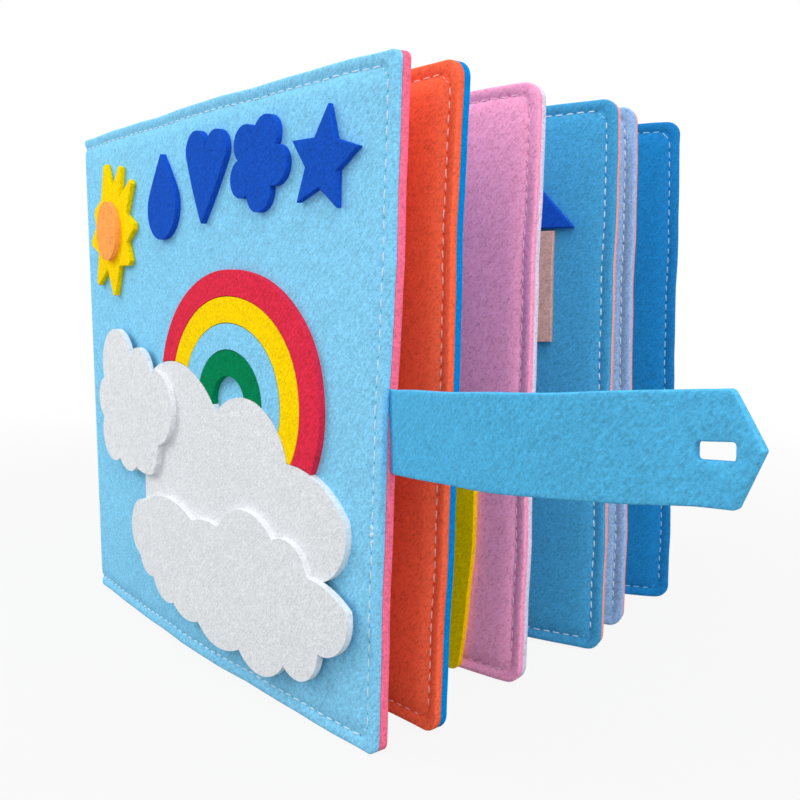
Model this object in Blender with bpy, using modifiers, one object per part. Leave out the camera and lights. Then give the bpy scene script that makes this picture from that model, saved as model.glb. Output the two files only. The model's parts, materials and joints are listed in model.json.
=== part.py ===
"""A felt quiet book that stands on its lower edges with its pages fanned out.

The spine stands upright in the XZ plane at the origin and the pages leave it towards -Y.
Every cover and page turns on an upright hinge line at the spine. An empty stands on each
hinge line, and the pieces that turn with it are its children. Lengths are in metres.
"""

import math

import bmesh
import bpy
from mathutils import Matrix

# The book
COVER_WIDTH = 0.219
COVER_HEIGHT = 0.210
COVER_CORNER = 0.002
OUTER_FELT = 0.0025
LINING_FELT = 0.0030
SPINE_WIDTH = 0.0786
SEAT_GAP = 0.0003

# The fold between the spine and each cover
FOLD_ROOM = 0.0042
FOLD_RADIUS = 0.0036

# The pages
PAGE_COUNT = 5
PAGE_FELT = 0.0025
PAGE_CORNER = 0.0055
PAGE_ROOT_CORNER = 0.0015
PAGE_FLOOR_GAP = 0.0010
PAGE_SETBACK = 0.0010
PAGE_ROOM = 0.0016

# The binding strip that carries each page
BINDING_STANDOFF = 0.0045
BINDING_FLANGE_WIDTH = 0.0080
BINDING_FELT = 0.0012
BINDING_BEAD_RADIUS = 0.0013

# The fan as it stands, in degrees from square to the spine
FRONT_COVER_TURN = 6.2
PAGE_TURNS = (8.7, 18.1, 27.3, 31.0, 40.6)
BACK_COVER_TURN = 66.0
CLOSED_TURN = 12.0

# The closure strap
STRAP_FELT = 0.0025
STRAP_HEIGHT = 0.0251
STRAP_ROOT_LEVEL = 0.0990
STRAP_RISE_DEGREES = 4.5
STRAP_TURN = 3.2
STRAP_FOLD_OUT = 0.0030
STRAP_FOLD_ROOM = 0.0019
STRAP_SLOT_OUT = 0.0170
STRAP_SHOULDER_OUT = 0.0217
STRAP_TIP_OUT = 0.0284
SLOT_LENGTH = 0.0090
SLOT_HEIGHT = 0.0050
SLOT_CORNER = 0.0008
TONGUE_FELT = 0.0012
TONGUE_DEPTH = 0.0120
STRAP_LIFT = 0.0006

# The button on the back cover
BUTTON_RADIUS = 0.0050
BUTTON_THICKNESS = 0.0020
BUTTON_EDGE = 0.0005
BUTTON_HOLE_RADIUS = 0.0007
BUTTON_HOLE_SPACING = 0.0030
BUTTON_STRAP_ROOM = 0.0006
THREAD_RADIUS = 0.0010

# The felt shapes on the front cover; each place is a share of the cover's width and height
SHAPE_FELT = 0.0024
RAINBOW_PLACE_SHARES = (0.6326, 0.4808)
RAINBOW_RADIUS = 0.0473
RAINBOW_SPREAD_SHARE = 1.127
BAND_WIDTH = 0.0095
RAINBOW_ENDS = (-30, 215)
SUN_PLACE_SHARES = (0.1667, 0.7938)
SUN_RAY_DEGREES = (100, 68, 42, 2, -36, -87, -128, -170, 151)
SUN_RAY_LENGTHS = (0.0293, 0.0288, 0.0291, 0.0242, 0.0239, 0.0278, 0.0283, 0.0233, 0.0206)
SUN_VALLEY_RADIUS = 0.0174
SUN_RAY_TIP = 0.0025
SUN_DISC_PLACE_SHARES = (0.1673, 0.7940)
SUN_DISC_RADIUS = 0.0126
SUN_DISC_SPREAD_SHARE = 0.83
DROP_PLACE_SHARES = (0.3980, 0.8252)
DROP_RADIUS = 0.0122
DROP_RISE = 0.0211
HEART_PLACE_SHARES = (0.5552, 0.9126)
HEART_LOBE = 0.0071
HEART_DEPTH = 0.0265
FLOWER_PLACE_SHARES = (0.7051, 0.8749)
FLOWER_RADIUS = 0.0167
FLOWER_PETALS = 5
FLOWER_BULGE_SHARE = 1.1
STAR_PLACE_SHARES = (0.8626, 0.8610)
STAR_RADIUS = 0.0171
STAR_VALLEY_RADIUS = 0.0084
STAR_POINTS = 5

# The pieces on the pages; places are from the page's fore edge and from its lower edge
POCKET_EDGE = 0.0225
POCKET_WIDTH = 0.1520
POCKET_HEIGHT = 0.0850
POCKET_FLARE_SHARE = 0.065
POCKET_CORNER = 0.0030
HOUSE_EDGE = 0.0220
HOUSE_WALL_WIDTH = 0.0440
HOUSE_WALL_LEVEL = 0.1198
HOUSE_WALL_HEIGHT = 0.0421
ROOF_WIDTH = 0.0590
ROOF_HEIGHT = 0.0333
ROOF_SEAM = 0.0010

CUT_OVERRUN = 0.0010
MERGE_DISTANCE = 0.000001
CORNER_STEPS = 5
ROUND_STEPS = 24

# What follows from the sizes above
HINGE_Y = -(OUTER_FELT + SEAT_GAP) / 2
HALF_SPINE = SPINE_WIDTH / 2
LINING_FACE_Y = HINGE_Y - SEAT_GAP / 2 - LINING_FELT
PAGE_HINGE_Y = LINING_FACE_Y - SEAT_GAP - BINDING_STANDOFF
PAGE_PITCH = SPINE_WIDTH / (PAGE_COUNT + 1)
PAGE_WIDTH = COVER_WIDTH + PAGE_HINGE_Y - HINGE_Y - PAGE_SETBACK
PAGE_HEIGHT = COVER_HEIGHT - 2 * PAGE_FLOOR_GAP
OUTER_MID = (SEAT_GAP + OUTER_FELT) / 2
LINING_MID = (SEAT_GAP + LINING_FELT) / 2
PAGE_MID = (SEAT_GAP + PAGE_FELT) / 2
OUTER_FACE = SEAT_GAP / 2 + OUTER_FELT
SHAPE_MID = OUTER_FACE + SEAT_GAP + SHAPE_FELT / 2
UPPER_SHAPE_MID = SHAPE_MID + SHAPE_FELT + SEAT_GAP
PAGE_FACE = SEAT_GAP / 2 + PAGE_FELT
PAGE_SHAPE_MID = PAGE_FACE + SEAT_GAP + PAGE_FELT / 2
UPPER_PAGE_SHAPE_MID = PAGE_SHAPE_MID + PAGE_FELT + SEAT_GAP

STRAP_RISE = math.tan(math.radians(STRAP_RISE_DEGREES))
CLOSED = math.radians(CLOSED_TURN)
STRAP_OVER_COVER = OUTER_FACE + STRAP_LIFT + STRAP_FELT / 2
STRAP_SPAN = SPINE_WIDTH + STRAP_OVER_COVER / math.cos(CLOSED)
STRAP_HINGE_OUT = COVER_WIDTH + STRAP_FOLD_OUT
STRAP_FOLD_LEVEL = STRAP_ROOT_LEVEL + STRAP_RISE * STRAP_SPAN
SLOT_LEVEL = STRAP_FOLD_LEVEL + STRAP_RISE * STRAP_SLOT_OUT
BUTTON_OUT = STRAP_HINGE_OUT + (STRAP_SPAN - SPINE_WIDTH) * math.sin(CLOSED) - STRAP_SLOT_OUT
BUTTON_UNDER = STRAP_OVER_COVER + STRAP_FELT / 2 + BUTTON_STRAP_ROOM

# A flat outline is drawn as seen from the front cover's side: right is away from the spine
FACING = Matrix(((0, 0, -1), (-1, 0, 0), (0, 1, 0))).to_euler()
STRAP_SLOPE = Matrix(((1, 0, 0, 0), (0, 1, 0, 0), (0, -STRAP_RISE, 1, 0), (0, 0, 0, 1)))

# Cloud outlines: the notches between the lobes, round the cloud's place, and how far each lobe
# bulges as a share of half its chord
CLOUD_LEFT_PLACE_SHARES = (0.2652, 0.4111)
CLOUD_LEFT_NOTCHES = (
    (-0.0291, 0.0164), (-0.0003, 0.0275), (0.0201, 0.0217), (0.0274, -0.0070),
    (0.0211, -0.0201), (0.0047, -0.0193), (-0.0131, -0.0179), (-0.0308, -0.0013),
)
CLOUD_LEFT_BULGE_SHARES = (1.06, 0.60, 1.14, 0.21, 0.13, 0.39, 0.77, 0.67)
CLOUD_MIDDLE_PLACE_SHARES = (0.6185, 0.3358)
CLOUD_MIDDLE_NOTCHES = (
    (-0.0606, 0.0372), (-0.0053, 0.0262), (0.0391, 0.0132), (0.0696, -0.0008),
    (0.0514, -0.0222), (-0.0262, -0.0374), (-0.0680, -0.0163),
)
CLOUD_MIDDLE_BULGE_SHARES = (0.38, 0.55, 0.23, 0.58, 0.11, 0.30, 0.10)
CLOUD_FRONT_PLACE_SHARES = (0.6256, 0.1685)
CLOUD_FRONT_NOTCHES = (
    (-0.0650, 0.0189), (-0.0221, 0.0188), (-0.0027, 0.0199), (0.0324, 0.0223),
    (0.0527, 0.0142), (0.0736, 0.0078), (0.0589, -0.0089), (0.0402, -0.0187),
    (0.0127, -0.0215), (-0.0167, -0.0190), (-0.0375, -0.0171), (-0.0565, -0.0115),
    (-0.0701, -0.0053),
)
CLOUD_FRONT_BULGE_SHARES = (
    0.23, 0.15, 0.46, 0.45, 0.15, 0.54, 0.63, 0.44, 0.29, 0.25, 0.37, 0.36, 0.96,
)

FELTS = {
    "felt_light_blue": (0.205, 0.545, 0.800),
    "felt_pink_lining": (0.755, 0.155, 0.305),
    "felt_orange": (0.850, 0.110, 0.032),
    "felt_bright_blue": (0.002, 0.223, 0.617),
    "felt_candy_pink": (0.920, 0.413, 0.658),
    "felt_pale_lilac": (0.730, 0.660, 0.840),
    "felt_sky_blue": (0.127, 0.456, 0.791),
    "felt_salmon": (0.913, 0.352, 0.305),
    "felt_periwinkle": (0.352, 0.429, 0.680),
    "felt_cobalt": (0.026, 0.305, 0.716),
    "felt_mauve": (0.520, 0.300, 0.500),
    "felt_yellow": (1.000, 0.753, 0.003),
    "felt_amber": (1.000, 0.402, 0.114),
    "felt_red": (0.730, 0.032, 0.080),
    "felt_green": (0.002, 0.205, 0.080),
    "felt_navy": (0.010, 0.080, 0.515),
    "felt_beige": (0.680, 0.456, 0.376),
    "felt_white": (0.807, 0.823, 0.855),
    "button_plastic": (0.850, 0.850, 0.820),
    "thread": (0.860, 0.860, 0.860),
}
ROUGHNESS = {"button_plastic": 0.35, "thread": 0.80}
FELT_ROUGHNESS = 0.95


def clear_scene():
    for item in list(bpy.data.objects):
        bpy.data.objects.remove(item, do_unlink=True)


def make_collection(name):
    collection = bpy.data.collections.new(name)
    bpy.context.scene.collection.children.link(collection)
    return collection


def make_material(name):
    material = bpy.data.materials.new(name)
    material.use_nodes = True
    shader = material.node_tree.nodes["Principled BSDF"]
    shader.inputs["Base Color"].default_value = (*FELTS[name], 1.0)
    shader.inputs["Roughness"].default_value = ROUGHNESS.get(name, FELT_ROUGHNESS)
    shader.inputs["Metallic"].default_value = 0.0
    return material


def arc(centre, radius, start, end, steps):
    """Points along an arc, with angles in degrees."""
    points = []
    for step in range(steps + 1):
        angle = math.radians(start + (end - start) * step / max(steps, 1))
        points.append((centre[0] + radius * math.cos(angle), centre[1] + radius * math.sin(angle)))
    return points


def rounded_box(left, low, right, high, radii):
    """A rectangle with corner radii given as left low, right low, right high, left high."""
    corners = ((left, low, 1, 1, 180), (right, low, -1, 1, 270), (right, high, -1, -1, 0), (left, high, 1, -1, 90))
    points = []
    for (x, y, inward_x, inward_y, start), radius in zip(corners, radii):
        centre = (x + inward_x * radius, y + inward_y * radius)
        points += arc(centre, radius, start, start + 90, CORNER_STEPS)
    return points


def lobes(notches, bulge_shares, steps):
    """An outline of round lobes, clockwise, each an arc from one notch to the next."""
    points = []
    for index, share in enumerate(bulge_shares):
        ax, ay = notches[index]
        bx, by = notches[(index + 1) % len(notches)]
        half = math.hypot(bx - ax, by - ay) / 2
        sagitta = share * half
        radius = (half * half + sagitta * sagitta) / (2 * sagitta)
        along_x, along_y = (bx - ax) / (2 * half), (by - ay) / (2 * half)
        out_x, out_y = -along_y, along_x
        back = radius - sagitta
        centre_x = (ax + bx) / 2 - out_x * back
        centre_y = (ay + by) / 2 - out_y * back
        start = math.atan2(ay - centre_y, ax - centre_x)
        sweep = 4 * math.atan(share)
        for step in range(steps):
            angle = start - sweep * step / steps
            points.append((centre_x + radius * math.cos(angle), centre_y + radius * math.sin(angle)))
    return points


def spread(points, share):
    """Points round the origin, made wider or narrower."""
    return [(x * share, y) for x, y in points]


def placed(points, place_shares, degrees):
    """Points round the origin, turned and moved to their place on the cover."""
    centre_x, centre_y = COVER_WIDTH * place_shares[0], COVER_HEIGHT * place_shares[1]
    cos, sin = math.cos(math.radians(degrees)), math.sin(math.radians(degrees))
    return [(centre_x + x * cos - y * sin, centre_y + x * sin + y * cos) for x, y in points]


def star(count, outer, inner):
    """A star of straight points round the origin."""
    points = []
    for step in range(2 * count):
        radius = inner if step % 2 else outer
        points += arc((0, 0), radius, 90 + 180 * step / count, 90, 0)
    return points


def sun():
    """Blunt rays of uneven length round the origin, clockwise from the top one."""
    points = []
    for index, (degrees, length) in enumerate(zip(SUN_RAY_DEGREES, SUN_RAY_LENGTHS)):
        half_tip = math.degrees(SUN_RAY_TIP / (2 * length))
        points += arc((0, 0), length, degrees + half_tip, degrees - half_tip, 1)
        following = SUN_RAY_DEGREES[(index + 1) % len(SUN_RAY_DEGREES)]
        middle = degrees - ((degrees - following) % 360) / 2
        points += arc((0, 0), SUN_VALLEY_RADIUS, middle, middle, 0)
    return points


def drop():
    """A raindrop: a round foot and straight sides up to a point."""
    touch = 90 - math.degrees(math.acos(DROP_RADIUS / DROP_RISE))
    return arc((0, 0), DROP_RADIUS, 180 - touch, 360 + touch, ROUND_STEPS) + [(0, DROP_RISE)]


def heart():
    """Two round lobes whose sides run straight to a point."""
    touch = 2 * math.degrees(math.atan2(HEART_LOBE, HEART_DEPTH))
    left = arc((-HEART_LOBE, 0), HEART_LOBE, 180 + touch, 0, ROUND_STEPS // 2)
    right = arc((HEART_LOBE, 0), HEART_LOBE, 180, -touch, ROUND_STEPS // 2)
    return left + right[1:] + [(0, -HEART_DEPTH)]


def flower():
    """Round petals, each an arc between two notches on a circle."""
    half = math.pi / FLOWER_PETALS
    radius = FLOWER_RADIUS / (math.cos(half) + FLOWER_BULGE_SHARE * math.sin(half))
    notches = [(radius * math.sin(2 * half * n), radius * math.cos(2 * half * n)) for n in range(FLOWER_PETALS)]
    return lobes(notches, (FLOWER_BULGE_SHARE,) * FLOWER_PETALS, 2 * CORNER_STEPS)


def sloped(points):
    """Strap points lifted along the strap's rise."""
    return [(x, y + STRAP_RISE * x) for x, y in points]


def empty(name, parent, location, turn):
    item = bpy.data.objects.new(name, None)
    item.empty_display_size = COVER_CORNER
    item.parent = parent
    item.location = location
    item.rotation_euler = (0, 0, math.radians(turn))
    book.objects.link(item)
    return item


def mesh_from_curve(curve_object, name):
    """Turns a filled curve into a closed mesh with its caps welded on."""
    bpy.context.view_layer.update()
    graph = bpy.context.evaluated_depsgraph_get()
    mesh = bpy.data.meshes.new_from_object(curve_object.evaluated_get(graph))
    shape = bmesh.new()
    shape.from_mesh(mesh)
    bmesh.ops.remove_doubles(shape, verts=shape.verts, dist=MERGE_DISTANCE)
    bmesh.ops.recalc_face_normals(shape, faces=shape.faces)
    shape.to_mesh(mesh)
    shape.free()
    curve = curve_object.data
    bpy.data.objects.remove(curve_object, do_unlink=True)
    bpy.data.curves.remove(curve)
    mesh.name = name
    return mesh


def flat_mesh(name, outlines, thickness):
    """A flat piece of felt from its outline and any holes in it."""
    curve = bpy.data.curves.new(name + "_outline", "CURVE")
    curve.dimensions = "2D"
    curve.fill_mode = "BOTH"
    curve.extrude = thickness / 2
    for outline in outlines:
        spline = curve.splines.new("POLY")
        spline.points.add(len(outline) - 1)
        for point, (x, y) in zip(spline.points, outline):
            point.co = (x, y, 0, 1)
        spline.use_cyclic_u = True
    curve_object = bpy.data.objects.new(name + "_outline", curve)
    bpy.context.scene.collection.objects.link(curve_object)
    return mesh_from_curve(curve_object, name)


def add_piece(name, mesh, slot, parent, location, rotation):
    item = bpy.data.objects.new(name, mesh)
    mesh.materials.clear()
    mesh.materials.append(materials[slot])
    item.parent = parent
    item.location = location
    item.rotation_euler = rotation
    book.objects.link(item)
    return item


def felt_piece(name, slot, parent, outlines, thickness, side):
    """A flat upright piece. Side is where its middle lies, towards the back cover."""
    mesh = flat_mesh(name, outlines, thickness)
    return add_piece(name, mesh, slot, parent, (side, 0, 0), FACING)


def upright_piece(name, slot, parent, outline, height, base):
    """A piece with one plan all the way up."""
    mesh = flat_mesh(name, [outline], height)
    return add_piece(name, mesh, slot, parent, (0, 0, base + height / 2), (0, 0, 0))


def round_piece(name, slot, parent, radius, depth, location, rotation):
    bpy.ops.mesh.primitive_cylinder_add(vertices=ROUND_STEPS, radius=radius, depth=depth)
    item = bpy.context.active_object
    mesh = item.data
    mesh.shade_smooth()
    mesh.set_sharp_from_angle(angle=math.radians(40))
    bpy.data.objects.remove(item, do_unlink=True)
    mesh.name = name
    return add_piece(name, mesh, slot, parent, location, rotation)


def cut(target, cutter):
    """Cuts one piece with another, which goes to the cutters."""
    modifier = target.modifiers.new(cutter.name, "BOOLEAN")
    modifier.operation = "DIFFERENCE"
    modifier.solver = "EXACT"
    modifier.object = cutter
    for collection in list(cutter.users_collection):
        collection.objects.unlink(cutter)
    cutters.objects.link(cutter)
    cutter.hide_render = True
    cutter.display_type = "WIRE"


def build_spine():
    """The spine's two felts, the folds at its sides and the strips that carry the pages."""
    edge = HALF_SPINE - FOLD_ROOM
    plan = ((-edge, -OUTER_FELT / 2), (edge, -OUTER_FELT / 2), (edge, OUTER_FELT / 2), (-edge, OUTER_FELT / 2))
    upright_piece("spine_outer", "felt_light_blue", None, plan, COVER_HEIGHT, 0)
    back = HINGE_Y - SEAT_GAP / 2
    plan = ((-edge, LINING_FACE_Y), (edge, LINING_FACE_Y), (edge, back), (-edge, back))
    upright_piece("spine_lining", "felt_pink_lining", None, plan, COVER_HEIGHT, 0)
    for name, x in (("front_cover_fold", -HALF_SPINE), ("back_cover_fold", HALF_SPINE)):
        round_piece(
            name, "felt_light_blue", None, FOLD_RADIUS, COVER_HEIGHT,
            (x, HINGE_Y, COVER_HEIGHT / 2), (0, 0, 0),
        )
    for page in range(1, PAGE_COUNT + 1):
        build_binding_strip(page)


def page_x(page):
    return page * PAGE_PITCH - HALF_SPINE


def build_binding_strip(page):
    """A T in plan: a flange sewn to the lining, a web, and a bead on the page's hinge line."""
    x = page_x(page)
    seat = LINING_FACE_Y - SEAT_GAP
    half_flange = BINDING_FLANGE_WIDTH / 2
    half_web = BINDING_FELT / 2
    meet = math.degrees(math.asin(half_web / BINDING_BEAD_RADIUS))
    bead = arc((x, PAGE_HINGE_Y), BINDING_BEAD_RADIUS, 90 + meet, 450 - meet, ROUND_STEPS // 2)
    outline = [(x + half_flange, seat - BINDING_FELT), (x + half_flange, seat)]
    outline += [(x - half_flange, seat), (x - half_flange, seat - BINDING_FELT)]
    outline += [(x - half_web, seat - BINDING_FELT)] + bead + [(x + half_web, seat - BINDING_FELT)]
    name = f"binding_strip_{page}"
    upright_piece(name, "felt_light_blue", None, outline, PAGE_HEIGHT, PAGE_FLOOR_GAP)


def cover_outline():
    return rounded_box(
        FOLD_ROOM, 0, COVER_WIDTH, COVER_HEIGHT,
        (COVER_CORNER / 2, COVER_CORNER, COVER_CORNER, COVER_CORNER / 2),
    )


def build_front_cover():
    cover = empty("front_cover_hinge", None, (-HALF_SPINE, HINGE_Y, 0), FRONT_COVER_TURN)
    felt_piece("front_cover_outer", "felt_light_blue", cover, [cover_outline()], OUTER_FELT, -OUTER_MID)
    lining = felt_piece(
        "front_cover_lining", "felt_pink_lining", cover, [cover_outline()], LINING_FELT, LINING_MID
    )
    build_strap_tongue(cover, lining)
    build_sun(cover)
    build_clouds_and_rainbow(cover)
    build_small_shapes(cover)
    return cover


def build_strap_tongue(cover, lining):
    """The strap's root, thinned where it is sewn between the cover's two felts."""
    inner = COVER_WIDTH - TONGUE_DEPTH
    shoulder = COVER_WIDTH + SEAT_GAP
    half = STRAP_FELT / 2
    near = SEAT_GAP / 2
    far = near + TONGUE_FELT
    bead = arc((0, -STRAP_HINGE_OUT), half, 180, 360, ROUND_STEPS // 2)
    outline = [(far, -shoulder), (far, -inner), (near, -inner), (near, -shoulder), (-half, -shoulder)]
    outline += bead + [(half, -shoulder)]
    base = STRAP_ROOT_LEVEL - STRAP_HEIGHT / 2
    upright_piece("strap_tongue", "felt_light_blue", cover, outline, STRAP_HEIGHT, base)
    recess = (
        (-CUT_OVERRUN, -COVER_WIDTH - CUT_OVERRUN),
        (far + SEAT_GAP, -COVER_WIDTH - CUT_OVERRUN),
        (far + SEAT_GAP, SEAT_GAP - inner),
        (-CUT_OVERRUN, SEAT_GAP - inner),
    )
    height = STRAP_HEIGHT + 2 * SEAT_GAP
    cutter = upright_piece("tongue_recess", "felt_pink_lining", cover, recess, height, base - SEAT_GAP)
    cut(lining, cutter)


def build_sun(cover):
    rays = placed(sun(), SUN_PLACE_SHARES, 0)
    felt_piece("sun_rays", "felt_yellow", cover, [rays], SHAPE_FELT, -SHAPE_MID)
    disc = arc((0, 0), SUN_DISC_RADIUS, 0, 360, ROUND_STEPS)[:-1]
    disc = placed(spread(disc, SUN_DISC_SPREAD_SHARE), SUN_DISC_PLACE_SHARES, 0)
    felt_piece("sun_disc", "felt_amber", cover, [disc], SHAPE_FELT, -UPPER_SHAPE_MID)


def build_clouds_and_rainbow(cover):
    """Four bands butt against the middle cloud, and the other two clouds lie on top of it."""
    steps = CORNER_STEPS + 1
    middle = lobes(CLOUD_MIDDLE_NOTCHES, CLOUD_MIDDLE_BULGE_SHARES, steps)
    middle = placed(middle, CLOUD_MIDDLE_PLACE_SHARES, 0)
    felt_piece("cloud_middle", "felt_white", cover, [middle], SHAPE_FELT, -SHAPE_MID)
    left = lobes(CLOUD_LEFT_NOTCHES, CLOUD_LEFT_BULGE_SHARES, steps)
    left = placed(left, CLOUD_LEFT_PLACE_SHARES, 0)
    felt_piece("cloud_left", "felt_white", cover, [left], SHAPE_FELT, -UPPER_SHAPE_MID)
    front = lobes(CLOUD_FRONT_NOTCHES, CLOUD_FRONT_BULGE_SHARES, steps)
    front = placed(front, CLOUD_FRONT_PLACE_SHARES, 0)
    felt_piece("cloud_front", "felt_white", cover, [front], SHAPE_FELT, -UPPER_SHAPE_MID)
    bands = ("red", "yellow", "blue", "green")
    slots = ("felt_red", "felt_yellow", "felt_light_blue", "felt_green")
    for index, (band, slot) in enumerate(zip(bands, slots)):
        outer = RAINBOW_RADIUS - index * BAND_WIDTH
        inner = outer - BAND_WIDTH + SEAT_GAP
        outline = arc((0, 0), outer, *RAINBOW_ENDS, 2 * ROUND_STEPS)
        outline += arc((0, 0), inner, *reversed(RAINBOW_ENDS), 2 * ROUND_STEPS)
        outline = placed(spread(outline, RAINBOW_SPREAD_SHARE), RAINBOW_PLACE_SHARES, 0)
        piece = felt_piece(f"rainbow_{band}", slot, cover, [outline], SHAPE_FELT, -SHAPE_MID)
        cut(piece, rainbow_cutter(cover, middle, band))


def rainbow_cutter(cover, cloud, band):
    """The middle cloud, grown by the seat gap, with all the cover below it."""
    count = len(cloud)
    grown = []
    for index in range(count):
        ax, ay = cloud[index - 1]
        bx, by = cloud[(index + 1) % count]
        length = math.hypot(bx - ax, by - ay)
        x, y = cloud[index]
        grown.append((x - SEAT_GAP * (by - ay) / length, y + SEAT_GAP * (bx - ax) / length))
    return felt_piece(
        f"cloud_room_{band}", "felt_white", cover, [grown], SHAPE_FELT + 2 * CUT_OVERRUN, -SHAPE_MID
    )


def build_small_shapes(cover):
    """Four small felt shapes in a row above the rainbow."""
    points = star(STAR_POINTS, STAR_RADIUS, STAR_VALLEY_RADIUS)
    shapes = (
        ("raindrop_shape", placed(drop(), DROP_PLACE_SHARES, 2)),
        ("heart_shape", placed(heart(), HEART_PLACE_SHARES, -5)),
        ("flower_shape", placed(flower(), FLOWER_PLACE_SHARES, 8)),
        ("star_shape", placed(points, STAR_PLACE_SHARES, -9)),
    )
    for name, outline in shapes:
        felt_piece(name, "felt_navy", cover, [outline], SHAPE_FELT, -SHAPE_MID)


def build_strap(cover):
    """The strap in the two lengths that lie flat when it is wrapped round the closed book."""
    hinge = empty("strap_hinge", cover, (0, -STRAP_HINGE_OUT, STRAP_ROOT_LEVEL), STRAP_TURN)
    half = STRAP_FELT / 2
    bead = arc((0, -STRAP_SPAN), half, 180, 360, ROUND_STEPS // 2)
    plan = [(half, -STRAP_FOLD_ROOM), (-half, -STRAP_FOLD_ROOM)] + bead
    base = -STRAP_HEIGHT / 2
    strap = upright_piece("closure_strap", "felt_light_blue", hinge, plan, STRAP_HEIGHT, base)
    strap.data.transform(STRAP_SLOPE)
    rise = STRAP_RISE * STRAP_SPAN
    fold = empty("strap_tip_hinge", hinge, (0, -STRAP_SPAN, rise), 0)
    low, high = -STRAP_HEIGHT / 2, STRAP_HEIGHT / 2
    tip = [(STRAP_FOLD_ROOM, low), (STRAP_SHOULDER_OUT, low), (STRAP_TIP_OUT, 0)]
    tip += [(STRAP_SHOULDER_OUT, high), (STRAP_FOLD_ROOM, high)]
    slot = rounded_box(
        STRAP_SLOT_OUT - SLOT_LENGTH / 2, -SLOT_HEIGHT / 2,
        STRAP_SLOT_OUT + SLOT_LENGTH / 2, SLOT_HEIGHT / 2, (SLOT_CORNER,) * 4,
    )
    felt_piece("closure_strap_tip", "felt_light_blue", fold, [sloped(tip), sloped(slot)], STRAP_FELT, 0)


def page_outline():
    return rounded_box(
        PAGE_ROOM, PAGE_FLOOR_GAP, PAGE_WIDTH, PAGE_FLOOR_GAP + PAGE_HEIGHT,
        (PAGE_ROOT_CORNER, PAGE_CORNER, PAGE_CORNER, PAGE_ROOT_CORNER),
    )


PAGE_SLOTS = (
    ("felt_orange", "felt_bright_blue"),
    ("felt_candy_pink", "felt_pale_lilac"),
    ("felt_sky_blue", "felt_salmon"),
    ("felt_periwinkle", "felt_salmon"),
    ("felt_cobalt", "felt_mauve"),
)


def build_pages():
    hinges = []
    for page in range(1, PAGE_COUNT + 1):
        hinge = empty(f"page_{page}_hinge", None, (page_x(page), PAGE_HINGE_Y, 0), PAGE_TURNS[page - 1])
        front, back = PAGE_SLOTS[page - 1]
        felt_piece(f"page_{page}_front", front, hinge, [page_outline()], PAGE_FELT, -PAGE_MID)
        felt_piece(f"page_{page}_back", back, hinge, [page_outline()], PAGE_FELT, PAGE_MID)
        hinges.append(hinge)
    build_pocket(hinges[1])
    build_house(hinges[2])


def flare(y):
    """How much wider than its middle the pocket is at this level."""
    level_share = (y - PAGE_FLOOR_GAP) / POCKET_HEIGHT
    return 1 + POCKET_FLARE_SHARE * (level_share - 1 / 2)


def build_pocket(hinge):
    right = PAGE_WIDTH - POCKET_EDGE
    outline = rounded_box(
        right - POCKET_WIDTH, PAGE_FLOOR_GAP, right, PAGE_FLOOR_GAP + POCKET_HEIGHT, (POCKET_CORNER,) * 4
    )
    middle = right - POCKET_WIDTH / 2
    outline = [(middle + (x - middle) * flare(y), y) for x, y in outline]
    felt_piece("page_2_pocket", "felt_yellow", hinge, [outline], PAGE_FELT, -PAGE_SHAPE_MID)


def build_house(hinge):
    right = PAGE_WIDTH - HOUSE_EDGE
    left = right - HOUSE_WALL_WIDTH
    eaves = HOUSE_WALL_LEVEL + HOUSE_WALL_HEIGHT
    wall = [(left, HOUSE_WALL_LEVEL), (right, HOUSE_WALL_LEVEL), (right, eaves), (left, eaves)]
    felt_piece("page_3_house_wall", "felt_beige", hinge, [wall], PAGE_FELT, -PAGE_SHAPE_MID)
    middle = (left + right) / 2
    base = eaves + ROOF_SEAM
    roof = [(middle - ROOF_WIDTH / 2, base), (middle + ROOF_WIDTH / 2, base), (middle, base + ROOF_HEIGHT)]
    felt_piece("page_3_house_roof", "felt_navy", hinge, [roof], PAGE_FELT, -PAGE_SHAPE_MID)


def build_back_cover():
    cover = empty("back_cover_hinge", None, (HALF_SPINE, HINGE_Y, 0), BACK_COVER_TURN)
    felt_piece("back_cover_outer", "felt_light_blue", cover, [cover_outline()], OUTER_FELT, OUTER_MID)
    felt_piece("back_cover_lining", "felt_pink_lining", cover, [cover_outline()], LINING_FELT, -LINING_MID)
    sideways = (0, math.pi / 2, 0)
    place = (BUTTON_UNDER + BUTTON_THICKNESS / 2, -BUTTON_OUT, SLOT_LEVEL)
    button = round_piece(
        "closure_button", "button_plastic", cover, BUTTON_RADIUS, BUTTON_THICKNESS, place, sideways
    )
    bevel = button.modifiers.new("edge", "BEVEL")
    bevel.width = BUTTON_EDGE
    bevel.segments = 2
    for name, side in (("lower_hole", -1), ("upper_hole", 1)):
        offset = side * BUTTON_HOLE_SPACING / 2
        hole = round_piece(
            name, "button_plastic", cover, BUTTON_HOLE_RADIUS, BUTTON_THICKNESS + 2 * CUT_OVERRUN,
            (place[0], place[1], place[2] + offset), sideways,
        )
        cut(button, hole)
    shank = BUTTON_UNDER - OUTER_FACE - 2 * SEAT_GAP
    round_piece(
        "button_thread", "thread", cover, THREAD_RADIUS, shank,
        (OUTER_FACE + SEAT_GAP + shank / 2, -BUTTON_OUT, SLOT_LEVEL), sideways,
    )


clear_scene()
book = make_collection("quiet_book")
cutters = make_collection("cutters")
materials = {name: make_material(name) for name in FELTS}
build_spine()
front_cover = build_front_cover()
build_strap(front_cover)
build_pages()
build_back_cover()
bpy.context.view_layer.update()
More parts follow.
